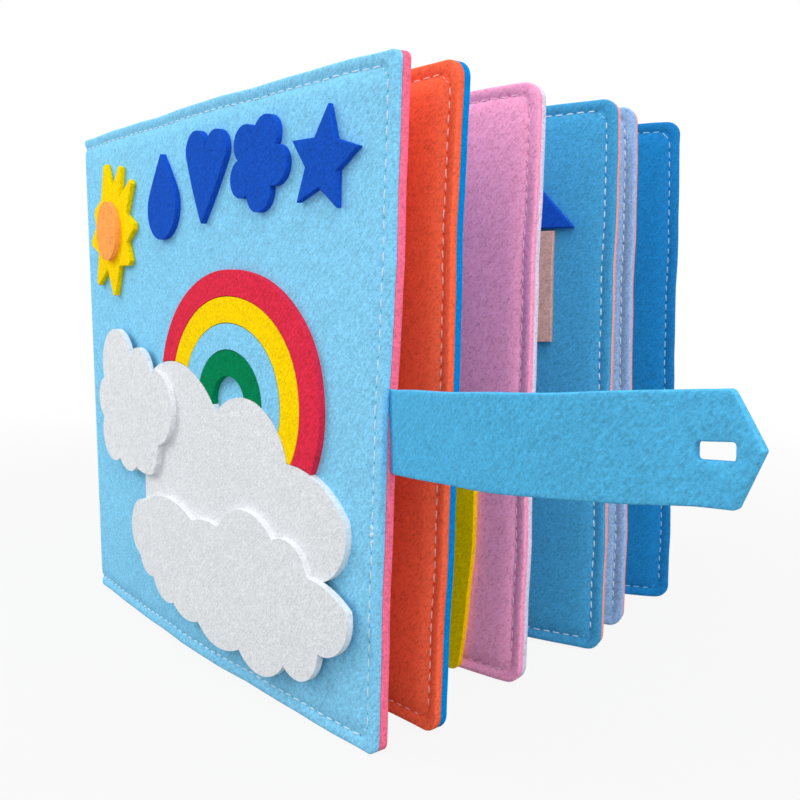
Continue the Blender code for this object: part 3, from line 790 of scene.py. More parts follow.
front_outer = cover_sheet(
    "front_outer_felt", front, "felt_light_blue", front_seam, "front", 0, OUTER_FACE,
    ("front_cover_outer", "front_cover_fold", "spine_outer"),
)
front_lining = cover_sheet(
    "front_lining_felt", front, "felt_pink_lining", front_seam, "front", -LINING_FACE, 0,
    ("front_cover_lining", "spine_lining"),
)
back_outer = cover_sheet(
    "back_outer_felt", back, "felt_light_blue", back_seam, "back", -OUTER_FACE, 0,
    ("back_cover_outer", "back_cover_fold"),
)
back_lining = cover_sheet(
    "back_lining_felt", back, "felt_pink_lining", back_seam, "back", 0, LINING_FACE,
    ("back_cover_lining",),
)
print("cover sheet has", len(front_outer.data.polygons), "faces")

# %% [markdown]
# ## The pages
# Five pages stand in the fan, each of two felts of different colours sewn back to back all round.
# All ten sheets have one cut, so one front and one back are made on the table and copied.

# %% Page sheets
PAGE_CORNER = 5.5 * MM
PAGE_SLOTS = (
    ("felt_orange", "felt_bright_blue"),
    ("felt_candy_pink", "felt_pale_lilac"),
    ("felt_sky_blue", "felt_salmon"),
    ("felt_periwinkle", "felt_salmon"),
    ("felt_cobalt", "felt_mauve"),
)


def copy_of(item, name):
    twin = item.copy()
    twin.data = item.data.copy()
    twin.name = twin.data.name = name
    bpy.context.scene.collection.objects.link(twin)
    return twin


def shift_grain(item):
    """Moves a copy's stored flat places so that its grain differs from its model's."""
    global piece_count
    piece_count += 1
    places = item.data.attributes["flat"].data
    values = np.empty(len(places) * 3, np.float32)
    places.foreach_get("vector", values)
    values = values.reshape(-1, 3) + np.array([0, 0, 0.037 * piece_count])
    places.foreach_set("vector", values.astype(np.float32).ravel())


def page_blank(name, low_z, high_z):
    return sewn_sheet(
        name, (PAGE_START, PAGE_LOW, low_z), (PAGE_END, PAGE_HIGH, high_z), page_seam,
        PAGE_CORNER, 7, False,
    )


blanks = {"front": page_blank("front_blank", 0, PAGE_FACE), "back": page_blank("back_blank", -PAGE_FACE, 0)}
page_sheets = {}
for number, (leaf, slots) in enumerate(zip(pages, PAGE_SLOTS), start=1):
    for side, slot in zip(("front", "back"), slots):
        sheet = copy_of(blanks[side], f"page_{number}_{side}_felt")
        shift_grain(sheet)
        stand(sheet, leaf)
        smooth(sheet)
        dress(sheet, felt_material(slot, "page"))
        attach(sheet, leaf.body)
        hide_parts(f"page_{number}_{side}")
        page_sheets[number, side] = sheet
for blank in blanks.values():
    bpy.data.objects.remove(blank)
print(len(page_sheets), "page sheets")

# %% [markdown]
# ## The binding
# Each page is held at its root by a folded tape whose tail is sewn to the spine. Seen from above it
# is a flat foot on the lining, a thin web, and two lips that grip the page. That plan is one closed
# outline, raised to the height of the page. The web is what bends when the page turns.

# %% Binding tapes
FOOT_HALF = 4.0 * MM
FOOT_THICKNESS = 1.2 * MM
WEB_HALF = 0.6 * MM
LIP_THICKNESS = 0.8 * MM
LIP_LENGTH = 8.0 * MM
NOSE = 0.8 * MM
NOSE_SHARES = ((1.0, 0.65), (1.6, 0.92), (2.6, 1.0))
TAPE_CUT = 12 * MM
seat_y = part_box("spine_lining")[0].y


def tape_plan(leaf):
    """The plan of a tape, from its foot round the page's root and back."""
    x, y = leaf.hinge
    grip = PAGE_FACE + LIP_THICKNESS
    nose = [(along * NOSE, across * grip) for along, across in NOSE_SHARES]
    left = [
        (NOSE / 2, WEB_HALF), *nose, (LIP_LENGTH, grip), (LIP_LENGTH, PAGE_FACE), (PAGE_START, PAGE_FACE),
    ]
    lips = left + [(out, -across) for out, across in reversed(left)]
    flat = np.array([(out, 0, across) for out, across in lips])
    foot = [(FOOT_HALF, 0), (FOOT_HALF, FOOT_THICKNESS), (WEB_HALF, FOOT_THICKNESS)]
    right = [(x + across, seat_y - down) for across, down in reversed(foot)]
    leftward = [(x - across, seat_y - down) for across, down in foot]
    return leftward + [tuple(point[:2]) for point in placed(leaf, flat)] + right


def upright_outline(name, plan, low, high):
    """A flat curve, filled and raised, as a mesh with closed caps."""
    curve = bpy.data.curves.new(name, "CURVE")
    curve.dimensions, curve.fill_mode, curve.extrude = "2D", "BOTH", (high - low) / 2
    spline = curve.splines.new("POLY")
    spline.points.add(len(plan) - 1)
    for point, (x, y) in zip(spline.points, plan):
        point.co = (x, y, 0, 1)
    spline.use_cyclic_u = True
    item = bpy.data.objects.new(name, curve)
    bpy.context.scene.collection.objects.link(item)
    item.location.z = (low + high) / 2
    pick(item)
    bpy.ops.object.convert(target="MESH")
    item = bpy.context.active_object
    bpy.ops.object.transform_apply(location=True, rotation=False, scale=False)
    edit(item)
    bpy.ops.mesh.select_all(action="SELECT")
    bpy.ops.mesh.remove_doubles(threshold=0.01 * MM)
    bpy.ops.mesh.normals_make_consistent(inside=False)
    return item


for number, leaf in enumerate(pages, start=1):
    plan = tape_plan(leaf)
    tape = upright_outline(f"binding_tape_{number}", plan, PAGE_LOW, PAGE_HIGH)
    slice_at(steps_between(PAGE_LOW, PAGE_HIGH, TAPE_CUT), (0, 0, 1))
    leave()
    keep_flat(tape)
    smooth(tape, 35)
    dress(tape, felts["felt_light_blue"])
    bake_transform(tape)
    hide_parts(f"binding_strip_{number}")

# %% [markdown]
# ## Felt shapes
# The sun, rainbow, clouds, the row of four small shapes, the pocket and the house are die cut from
# thick felt. Their outlines are already right in the frame, but its curves are short straight chords.
# Each outline is read from the frame, its chords are bowed into arcs, and it is filled and raised on
# the table. Soft rims and a grid of cuts then let it bow with the sheet it lies on.

# %% Shapes cut from the frame's outlines
SEAT_GAP = 0.3 * MM
SHAPE_RIM = 0.4 * MM
CORNER_TURN = math.radians(33)
ARC_STEP = 1.3 * MM


def outline_of(node, leaf):
    """The flat outline of a CAD solid, from its one flat face on the near side."""
    item = copy_of(frame["nodes"][node], "outline")
    flat = np.array([flat_place(leaf, vertex.co) for vertex in item.data.vertices])
    set_points(item, flat)
    edit(item)
    bpy.ops.mesh.select_all(action="SELECT")
    bpy.ops.mesh.remove_doubles(threshold=0.01 * MM)
    bpy.ops.mesh.normals_make_consistent(inside=False)
    bpy.ops.mesh.dissolve_limited(angle_limit=math.radians(1))
    leave()
    face = max((face for face in item.data.polygons if face.normal.z > 0.9), key=lambda face: face.area)
    points = [np.array(item.data.vertices[index].co[:2]) for index in face.vertices]
    bpy.data.objects.remove(item)
    spaced = [b for a, b in zip([points[-1], *points], points) if math.dist(a, b) > 3 * TINY]
    return spaced, flat[:, 2].min(), flat[:, 2].max()


def turn_between(before, here, after):
    first, second = here - before, after - here
    return math.atan2(first[0] * second[1] - first[1] * second[0], first @ second)


def rounded(points):
    """The same outline with its short chords bowed into arcs. Sharp turns stay corners."""
    count = len(points)
    turns = [turn_between(points[i - 1], points[i], points[(i + 1) % count]) for i in range(count)]
    is_smooth = [abs(turn) < CORNER_TURN for turn in turns]
    result = []
    for i in range(count):
        j = (i + 1) % count
        start, run = points[i], points[j] - points[i]
        near = turns[i] / 2 if is_smooth[i] else (turns[j] / 2 if is_smooth[j] else 0.0)
        far = turns[j] / 2 if is_smooth[j] else near
        steps = max(1, math.ceil(math.hypot(*run) / ARC_STEP)) if near or far else 1
        across = np.array([run[1], -run[0]])
        for share in np.arange(steps) / steps:
            rise = share * (1 - share) * (near * (1 - share) + far * share)
            result.append(start + run * share + across * rise)
    return result


def shape_from_node(node, leaf, name, layers):
    """A soft felt shape with a CAD solid's outline, laid flat on what carries it."""
    points, low_z, high_z = outline_of(node, leaf)
    points = rounded(points)
    lift = layers * SEAT_GAP
    item = upright_outline(name, points, low_z - lift, high_z - lift)
    round_rims(item, width=SHAPE_RIM)
    low, high = np.min(points, 0), np.max(points, 0)
    slice_at(steps_between(low[0], high[0], GRID), (1, 0, 0))
    slice_at(steps_between(low[1], high[1], GRID), (0, 1, 0))
    leave()
    keep_flat(item)
    return item, high - low


def flat_area(item):
    """The area of one face of a flat piece, from its own mesh."""
    pick(item)
    return sum(face.area * abs(face.normal.z) for face in item.data.polygons) / 2


def add_shape(node, leaf, name, slot, layers):
    item, size = shape_from_node(node, leaf, name, layers)
    area = flat_area(item)
    stand(item, leaf)
    pick(item)
    bpy.ops.object.shade_smooth_by_angle(angle=math.radians(50))
    weigh = item.modifiers.new("weigh", "WEIGHTED_NORMAL")
    weigh.keep_sharp = True
    bpy.ops.object.modifier_apply(modifier=weigh.name)
    dress(item, felts[slot])
    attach(item, leaf.body)
    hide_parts(node)
    return item


COVER_SHAPES = (
    ("sun_rays", "felt_yellow", 1, "front_outer_felt"),
    ("sun_disc", "felt_amber", 2, "sun_rays_felt"),
    ("rainbow_red", "felt_red", 1, "front_outer_felt"),
    ("rainbow_yellow", "felt_yellow", 1, "front_outer_felt"),
    ("rainbow_blue", "felt_light_blue", 1, "front_outer_felt"),
    ("rainbow_green", "felt_green", 1, "front_outer_felt"),
    ("cloud_middle", "felt_white", 1, "front_outer_felt"),
    ("cloud_left", "felt_white", 2, "cloud_middle_felt"),
    ("cloud_front", "felt_white", 2, "cloud_middle_felt"),
    ("raindrop_shape", "felt_navy", 1, "front_outer_felt"),
    ("heart_shape", "felt_navy", 1, "front_outer_felt"),
    ("flower_shape", "felt_navy", 1, "front_outer_felt"),
    ("star_shape", "felt_navy", 1, "front_outer_felt"),
)
for node, slot, layers, rests_on in COVER_SHAPES:
    add_shape(node, front, f"{node}_felt", slot, layers)
PAGE_SHAPES = (
    ("page_2_pocket", 2, "felt_yellow"),
    ("page_3_house_wall", 3, "felt_beige"),
    ("page_3_house_roof", 3, "felt_navy"),
)
for node, number, slot in PAGE_SHAPES:
    add_shape(node, pages[number - 1], f"{node}_felt", slot, 1)
print(len(COVER_SHAPES) + len(PAGE_SHAPES), "felt shapes")

# %% [markdown]
# ## The closure strap
# One long strip of felt is sewn in between the cover's two felts, leaves the fore edge with a small
# bend and ends in a point with a buttonhole. It is cut in one piece here too, from a block: two
# slanted bisects point it and a rounded block cuts the buttonhole. Its points are then moved so that
# it rises, twists and bows outwards, and it is parted in two, because it folds twice when the book is
# closed. Cuts lie close together where it folds.

# %% Strap
strap_hinge, tip_hinge = (np.array(joints[name]["pos_m"]) for name in ("strap_fold", "strap_tip_fold"))
STRAP_RUN = math.dist(strap_hinge[:2], tip_hinge[:2])
STRAP_RISE_SHARE = (tip_hinge[2] - strap_hinge[2]) / STRAP_RUN
STRAP_HALF = (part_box("strap_tongue")[1].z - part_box("strap_tongue")[0].z) / 2
STRAP_MID = 1.25 * MM
TONGUE = 13.0 * MM
TONGUE_SHARE = 0.45
STRAP_PART = 0.62 * STRAP_RUN
SHOULDERS = {1: STRAP_RUN + 19.7 * MM, -1: STRAP_RUN + 21.4 * MM}
TIP = STRAP_RUN + 27.2 * MM
SLOT_PLACE = STRAP_RUN + 16.4 * MM
SLOT_DROP = 0.45 * MM
SLOT_HALF = (4.6 * MM, 2.1 * MM)
SLOT_CORNER = 0.9 * MM
SHOULDER_CORNER = 0.8 * MM
TIP_CORNER = 0.3 * MM
STRAP_RIM = 0.45 * MM
FOLD_CUT = 1.0 * MM
RUN_CUT = 5 * MM
TIP_CUT = 4 * MM
EDGE_CUT = 1.2 * MM
STRAP_REACH = 0.4 * MM
STRAP_TWIST = 1.15 * MM
STRAP_BOW = 9.5 * MM
BOW_REACH = STRAP_RUN + 11.0 * MM
BOW_POWER = 1.15
# A negative rim value paints a highlight on the strap's cut sides, so they look paler.
STRAP_RIM_PAINTED_HIGHLIGHT = -0.3
STRAP_FLARE_SHARE = 0.035
TAPER_START = -3.5 * MM
TAPER_LENGTH = 3.0 * MM
TONGUE_DROP = 0.6 * MM
TWIST_FADE = 10 * MM
STRAP_WANDER = 0.12 * MM
STRAP_WAVES = 180
strap_leaf = Leaf(
    "strap", strap_hinge[:2], front.heading, math.atan2(*(tip_hinge - strap_hinge)[1::-1]),
    STRAP_REACH, 0.0, 0.0, 0.0, 0.0, 0,
)


def cut_strap():
    item = add_block("strap_strip", (-TONGUE, -STRAP_HALF, -STRAP_MID), (TIP, STRAP_HALF, STRAP_MID))
    edit(item)
    for side, shoulder in SHOULDERS.items():
        slope = Vector((STRAP_HALF, side * (TIP - shoulder), 0)).normalized()
        bpy.ops.mesh.select_all(action="SELECT")
        bpy.ops.mesh.bisect(plane_co=(TIP, 0, 0), plane_no=slope, clear_outer=True, use_fill=True)
    is_shoulder = lambda middle: middle.x > STRAP_RUN and abs(middle.y) > STRAP_HALF - TINY
    round_corners(item, SHOULDER_CORNER, 3, is_shoulder)
    round_corners(item, TIP_CORNER, 2, lambda middle: middle.x > TIP - TINY)
    leave()
    low = (SLOT_PLACE - SLOT_HALF[0], -SLOT_HALF[1] - SLOT_DROP, -2 * STRAP_MID)
    high = (SLOT_PLACE + SLOT_HALF[0], SLOT_HALF[1] - SLOT_DROP, 2 * STRAP_MID)
    cutter = add_block("slot_cutter", low, high)
    edit(cutter)
    round_corners(cutter, SLOT_CORNER, 3, lambda middle: True)
    leave()
    pick(item)
    hole = item.modifiers.new("buttonhole", "BOOLEAN")
    hole.operation, hole.object = "DIFFERENCE", cutter
    bpy.ops.object.modifier_apply(modifier=hole.name)
    bpy.data.objects.remove(cutter)
    edit(item)
    round_rims(item, width=STRAP_RIM)
    root_cuts = [step * FOLD_CUT for step in range(-3, 3)]
    fold_cuts = [STRAP_RUN + step * FOLD_CUT for step in range(-4, 5)]
    run_cuts = steps_between(3 * FOLD_CUT, fold_cuts[0], RUN_CUT)
    tip_cuts = steps_between(fold_cuts[-1], TIP, TIP_CUT)
    for cuts in (root_cuts, run_cuts, fold_cuts, tip_cuts):
        slice_at(cuts, (1, 0, 0))
    edge = STRAP_HALF - EDGE_CUT
    slice_at([-edge, -STRAP_HALF / 2, 0, STRAP_HALF / 2, edge], (0, 1, 0))
    leave()
    return item


def shape_strap(item):
    """Thins the sewn-in root, slopes the strap, bows it outwards and waves it a little."""
    keep_flat(item, STRAP_RIM_PAINTED_HIGHLIGHT)
    x, y, z = points_of(item).T
    out = np.clip((x - TAPER_START) / TAPER_LENGTH, 0, 1)
    out = out * out * (3 - 2 * out)
    along = np.clip(x / STRAP_RUN, 0, 1)
    z = z * (TONGUE_SHARE + (1 - TONGUE_SHARE) * out) - TONGUE_DROP * (1 - out)
    z = z + STRAP_BOW * np.sin(math.pi * np.clip(x / BOW_REACH, 0, 1) ** BOW_POWER)
    twist = along - np.clip((x - STRAP_RUN) / TWIST_FADE, 0, 1)
    z = z + STRAP_TWIST * (y / STRAP_HALF) * twist
    y = y - STRAP_FLARE_SHARE * (STRAP_HALF - y) * along
    edge_wander = STRAP_WANDER * np.sin(STRAP_WAVES * x) * np.sign(y)
    y = y + strap_hinge[2] + STRAP_RISE_SHARE * np.maximum(x, 0) + edge_wander
    set_points(item, placed(strap_leaf, np.column_stack([x, y, z])))


def part_strap(item, name, keeps_root):
    piece = copy_of(item, name)
    edit(piece)
    bpy.ops.mesh.select_all(action="SELECT")
    place = (*(strap_hinge[:2] + STRAP_PART * ahead(strap_leaf.heading)), 0)
    bpy.ops.mesh.bisect(
        plane_co=place, plane_no=(*ahead(strap_leaf.heading), 0), clear_outer=keeps_root,
        clear_inner=not keeps_root, use_fill=True,
    )
    leave()
    return piece


def finish_strap(item, nodes):
    smooth(item)
    dress(item, strap_felt)
    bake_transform(item)
    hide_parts(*nodes)


strip = cut_strap()
shape_strap(strip)
strap_root = part_strap(strip, "strap_root_felt", True)
strap_end = part_strap(strip, "strap_end_felt", False)
bpy.data.objects.remove(strip)
finish_strap(
    strap_root,
    ("closure_strap", "strap_tongue"),
)
finish_strap(
    strap_end, ("closure_strap_tip",),
)
print("strap runs", round(STRAP_RUN / MM, 1), "mm to its second fold")

# %% [markdown]
# ## Stitches
# A machine stitch is a short length of thread that comes up through one needle hole and goes down
# through the next. One stitch is modelled as a thin six-sided rod with bent, narrowed ends, and an
# array repeats it along each straight run of a seam. The runs are joined, jittered a little, and
# then folded and stood up by the same rule as the felt, so they stay in its groove.

# %% One stitch and whole seams
THREAD_RADIUS = 0.27 * MM
STITCH_SHARE = 0.70
THREAD_SIDES = 6
STITCH_CUT_SHARES = (-0.38, -0.2, 0.2, 0.38)
END_THIN_SHARE = 0.4
END_DIP = 0.34 * MM
STITCH_LEAN = 0.03
LEAN_SPREAD = 0.05
DRIFT = 0.06 * MM
THREAD_LIFT = 0.12 * MM
TACK_ROWS = ((-0.4 * MM, 63.5 * MM, 71.0 * MM), (0.5 * MM, 64.5 * MM, 70.5 * MM))
TACK_PITCH = 2.4 * MM
TACK_WEIGHT = 1.7
jitter = np.random.default_rng(11)


def stitch_model():
    bpy.ops.object.select_all(action="DESELECT")
    length = STITCH_SHARE * PAGE_PITCH
    bpy.ops.mesh.primitive_cylinder_add(
        vertices=THREAD_SIDES, radius=THREAD_RADIUS, depth=length, rotation=(0, math.pi / 2, 0)
    )
    item = bpy.context.active_object
    bpy.ops.object.transform_apply(location=False, rotation=True, scale=False)
    edit(item)
    slice_at([share * length for share in STITCH_CUT_SHARES], (1, 0, 0))
    leave()
    x, y, z = points_of(item).T
    out = np.abs(2 * x / length)
    thin = 1 - END_THIN_SHARE * out ** 5
    set_points(item, np.column_stack([x, y * thin, z * thin - END_DIP * out ** 3]))
    return item


def run_of_stitches(model, start, end, pitch, weight=1.0):
    length = math.dist(start, end)
    count = max(1, round(length / pitch))
    step = length / count
    run = copy_of(model, "run")
    run.data.transform(Matrix.Diagonal((step / PAGE_PITCH, weight, weight, 1)))
    pick(run)
    repeat = run.modifiers.new("repeat", "ARRAY")
    repeat.count = count
    repeat.use_relative_offset, repeat.use_constant_offset = False, True
    repeat.constant_offset_displace = (step, 0, 0)
    bpy.ops.object.modifier_apply(modifier=repeat.name)
    angle = math.atan2(end[1] - start[1], end[0] - start[0])
    turn = Matrix.Rotation(angle, 4, "Z")
    run.data.transform(Matrix.Translation((*start, 0)) @ turn @ Matrix.Translation((step / 2, 0, 0)))
    return run


def seam_corners(seam, is_open):
    """The seam's turning points, with each corner cut by one slanted stitch."""
    low_x, high_x, low_y, high_y, cut = seam[:5]
    fore = [(high_x - cut, low_y), (high_x, low_y + cut), (high_x, high_y - cut), (high_x - cut, high_y)]
    if is_open:
        return [(low_x, low_y), *fore, (low_x, high_y)]
    root = [(low_x + cut, high_y), (low_x, high_y - cut), (low_x, low_y + cut), (low_x + cut, low_y)]
    return [*fore, *root, fore[0]]


def tack_runs(model, seam):
    """The seam's start and end, sewn over twice with short stitches so that it can't come undone."""
    runs = []
    for offset, low, high in TACK_ROWS:
        x = seam.high_x + offset
        runs.append(run_of_stitches(model, (x, low), (x, high), TACK_PITCH, TACK_WEIGHT))
    return runs


def sew(name, model, seam, is_open, is_tacked=False):
    points = seam_corners(seam, is_open)
    runs = [run_of_stitches(model, a, b, seam.pitch) for a, b in zip(points, points[1:])]
    if is_tacked:
        runs += tack_runs(model, seam)
    pick(runs[0])
    for run in runs[1:]:
        run.select_set(True)
    bpy.ops.object.join()
    runs[0].name = runs[0].data.name = name
    return runs[0]


def lay_thread(item, face, side, leaf):
    """Brings a seam to one face of a leaf, with small uneven turns and drifts per stitch."""
    flat = points_of(item)
    count = len(flat) // STITCH_POINTS
    flat = flat.reshape(count, STITCH_POINTS, 3)
    centre = flat.mean(1, keepdims=True)
    away = flat - centre
    angle = jitter.normal(0, LEAN_SPREAD, (count, 1)) + STITCH_LEAN
    turned = np.stack([
        away[..., 0] * np.cos(angle) - away[..., 1] * np.sin(angle),
        away[..., 0] * np.sin(angle) + away[..., 1] * np.cos(angle),
        away[..., 2],
    ], -1)
    drift = jitter.normal(0, DRIFT, (count, 1, 3))
    flat = (centre + turned + drift).reshape(-1, 3)
    height = face * (1 - PRESS_SHARE) + THREAD_LIFT
    if side < 0:
        flat[:, 1] = COVER_HEIGHT - flat[:, 1]
    flat[:, 2] = side * (flat[:, 2] + height)
    set_points(item, flat)
    keep_flat(item)
    stand(item, leaf)
    pick(item)
    bpy.ops.object.shade_smooth()


model = stitch_model()
STITCH_POINTS = len(model.data.vertices)
print("one stitch has", len(model.data.polygons), "faces")

# %% [markdown]
# ## Thread
# Sewing thread is smooth, a little shiny and lightly twisted. The stitches are too small for real
# strands, so a fine stretched noise along the flat place gives the twist.

# %% Thread materials


def thread_material(name, colour):
    material, tree, shader = plain_material(name, 0.6)
    place = attribute(tree, "flat").outputs["Vector"]
    twist = noise(tree, stretched(tree, place, 40, (2600, 900, 1500)), 1.0, 2.0)
    light = ramp(tree, twist, 0.2, 0.8, 0.82, 1.0)
    dark = tuple(0.55 * value for value in colour)
    tree.links.new(blend_colours(tree, light, (*dark, 1), (*colour, 1)), shader.inputs["Base Color"])
    tree.links.new(ramp(tree, twist, 0.0, 1.0, 0.5, 0.8), shader.inputs["Roughness"])
    bump = tree.nodes.new("ShaderNodeBump")
    bump.inputs["Distance"].default_value = 0.1 * MM
    tree.links.new(twist, bump.inputs["Height"])
    tree.links.new(bump.outputs["Normal"], shader.inputs["Normal"])
    shader.inputs["Sheen Weight"].default_value = 0.3
    return material


THREADS = {
    "white": thread_material("thread_white", screen(236, 240, 245)),
    "ice": thread_material("thread_ice", screen(216, 238, 250)),
    "blush": thread_material("thread_blush", screen(250, 196, 186)),
    "rose": thread_material("thread_rose", screen(246, 190, 216)),
    "sky": thread_material("thread_sky", screen(150, 205, 238)),
}
COVER_THREADS = {"front": ("ice", "rose"), "back": ("ice", "rose")}
PAGE_THREADS = (("blush", "sky"), ("rose", "white"), ("ice", "white"), ("ice", "white"), ("sky", "white"))


def add_seam(name, blank, leaf, face, side, thread, blends):
    item = copy_of(blank, name)
    lay_thread(item, face, side, leaf)
    dress(item, THREADS[thread])
    if blends:
        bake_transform(item)
    else:
        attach(item, leaf.body)
    return item


page_blank_seam = sew("page_seam_blank", model, page_seam, False)
for number, (leaf, threads) in enumerate(zip(pages, PAGE_THREADS), start=1):
    add_seam(f"page_{number}_front_seam", page_blank_seam, leaf, PAGE_FACE, 1, threads[0], False)
    add_seam(f"page_{number}_back_seam", page_blank_seam, leaf, PAGE_FACE, -1, threads[1], False)
for label, leaf, seam, outer_side in (("front", front, front_seam, 1), ("back", back, back_seam, -1)):
    blank = sew(f"{label}_seam_blank", model, seam, True)
    tacked = sew(f"{label}_tacked_blank", model, seam, True, is_tacked=label == "front")
    outer, inner = COVER_THREADS[label]
    add_seam(f"{label}_outer_seam", tacked, leaf, OUTER_FACE, outer_side, outer, True)
    add_seam(f"{label}_inner_seam", blank, leaf, LINING_FACE, -outer_side, inner, True)
    for leftover in (blank, tacked):
        bpy.data.objects.remove(leftover)
for leftover in (model, page_blank_seam):
    bpy.data.objects.remove(leftover)
print("seams sewn")

# %% [markdown]
# ## The button
# The strap's buttonhole goes over a flat button on the back cover. A sewing button is a thick disc
# with a raised rim, a dished middle and holes for the thread. The disc is a cylinder whose face is
# inset and pushed in, and the holes are cut through.

# %% Button and its thread
BUTTON_RIM_SHARE = 0.28
BUTTON_DISH_SHARE = 0.3
BUTTON_ROUND = 0.4 * MM
HOLE_OFFSET = 1.5 * MM
HOLE_RADIUS = 0.7 * MM
SHANK_RADIUS = 1.0 * MM
SHANK_SINK = 0.3 * MM
WRAP_PITCH = 0.5 * MM
WRAP_SWELL_SHARE = 0.12
BAR_OFFSET = 0.35 * MM
BAR_RADIUS = 0.28 * MM
BAR_LENGTH = 3.4 * MM
BAR_CUTS = (-1.4 * MM, -1.1 * MM, -0.6 * MM, 0.6 * MM, 1.1 * MM, 1.4 * MM)
BAR_DIP = 1.0 * MM
BAR_FLAT = 0.9 * MM
BAR_FALL = 0.8 * MM
BAR_LIFT = 0.15 * MM


def add_disc(name, radius, depth, centre, sides):
    """A cylinder that lies in a leaf's flat layout, with its round faces to the front and back."""
    bpy.ops.object.select_all(action="DESELECT")
    bpy.ops.mesh.primitive_cylinder_add(vertices=sides, radius=radius, depth=depth, location=centre)
    item = bpy.context.active_object
    item.name = item.data.name = name
    bpy.ops.object.transform_apply(location=True, rotation=False, scale=False)
    return item


def plastic_material():
    material, tree, shader = plain_material("button_plastic", 0.3)
    place = tree.nodes.new("ShaderNodeTexCoord").outputs["Object"]
    cloud = noise(tree, place, 420, 3.0, 0.6)
    tree.links.new(
        blend_colours(tree, ramp(tree, cloud, 0.3, 0.7), (0.78, 0.79, 0.78, 1), (0.9, 0.9, 0.88, 1)),
        shader.inputs["Base Color"],
    )
    tree.links.new(ramp(tree, cloud, 0.2, 0.8, 0.24, 0.4), shader.inputs["Roughness"])
    shader.inputs["Coat Weight"].default_value = 0.3
    return material


def add_button():
    low, high = flat_reach(back, "closure_button")
    centre = (low + high) / 2
    radius, depth = (high[0] - low[0]) / 2, high[2] - low[2]
    item = add_disc("button", radius, depth, centre, 40)
    edit(item)
    bpy.ops.mesh.select_mode(type="FACE")
    bpy.ops.mesh.select_all(action="DESELECT")
    shape = bmesh.from_edit_mesh(item.data)
    for face in shape.faces:
        face.select_set(face.normal.z < -0.9)
    bmesh.update_edit_mesh(item.data)
    bpy.ops.mesh.inset(thickness=BUTTON_RIM_SHARE * radius)
    bpy.ops.transform.translate(value=(0, 0, BUTTON_DISH_SHARE * depth))
    bpy.ops.mesh.select_mode(type="EDGE")
    select_edges(item, lambda edge, middle: is_rim(edge))
    bpy.ops.mesh.bevel(offset=BUTTON_ROUND, segments=3, affect="EDGES", clamp_overlap=True)
    leave()
    for side in (-1, 1):
        place = centre + np.array([0, side * HOLE_OFFSET, 0])
        cutter = add_disc("hole_cutter", HOLE_RADIUS, 3 * depth, place, 16)
        pick(item)
        hole = item.modifiers.new("hole", "BOOLEAN")
        hole.operation, hole.object = "DIFFERENCE", cutter
        bpy.ops.object.modifier_apply(modifier=hole.name)
        bpy.data.objects.remove(cutter)
    set_points(item, placed(back, points_of(item)))
    smooth(item, 35)
    dress(item, plastic_material())
    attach(item, "back_cover")
    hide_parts("closure_button")
    return centre, low[2], high[2]


def add_button_thread(centre, outside, inside):
    """A wrapped thread shank under the button and a bar of thread over its face."""
    low, high = flat_reach(back, "button_thread")
    length = high[2] - low[2] + 2 * SHANK_SINK
    shank = add_disc("button_shank", SHANK_RADIUS, length, (low + high) / 2, 20)
    edit(shank)
    turns = steps_between(low[2] - SHANK_SINK, high[2] + SHANK_SINK, WRAP_PITCH / 2)
    slice_at(turns, (0, 0, 1))
    leave()
    x, y, z = points_of(shank).T
    swell = 1 + WRAP_SWELL_SHARE * np.cos(2 * math.pi * z / WRAP_PITCH)
    set_points(shank, np.column_stack([
        centre[0] + (x - centre[0]) * swell, centre[1] + (y - centre[1]) * swell, z
    ]))
    bars = []
    for offset in (-BAR_OFFSET, BAR_OFFSET):
        bar = add_disc("bar", BAR_RADIUS, BAR_LENGTH, (0, 0, 0), 10)
        bar.data.transform(Matrix.Rotation(math.pi / 2, 4, "X"))
        edit(bar)
        slice_at(BAR_CUTS, (0, 1, 0))
        leave()
        x, y, z = points_of(bar).T
        dip = BAR_DIP * np.clip((np.abs(y) - BAR_FLAT) / BAR_FALL, 0, 1) ** 2
        dished = outside + BUTTON_DISH_SHARE * (inside - outside) - BAR_LIFT
        set_points(bar, np.column_stack([
            x + centre[0] + offset, y + centre[1], z + dished + dip
        ]))
        bars.append(bar)
    pick(shank)
    for bar in bars:
        bar.select_set(True)
    bpy.ops.object.join()
    keep_flat(shank)
    set_points(shank, placed(back, points_of(shank)))
    pick(shank)
    bpy.ops.object.shade_smooth()
    dress(shank, THREADS["white"])
    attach(shank, "back_cover")
    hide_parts("button_thread")


add_button_thread(*add_button())
print("button sewn on")

# %% [markdown]
# ## Floor and light
# The book stands on a plain pale floor in soft light, as in a product photograph. A floor that the
# camera sees as white, and that still takes the book's soft shadow, keeps the colours clean.

# %% Floor
FLOOR_SIZE = 6.0
FLOOR_WHITE_SHARE = 0.90
FLOOR_FADE = (0.25, 0.75)
FLOOR_GREYS = ((0.36, 0.36, 0.36, 1), (0.40, 0.40, 0.40, 1))
FLOOR_DROP = 0.1 * MM


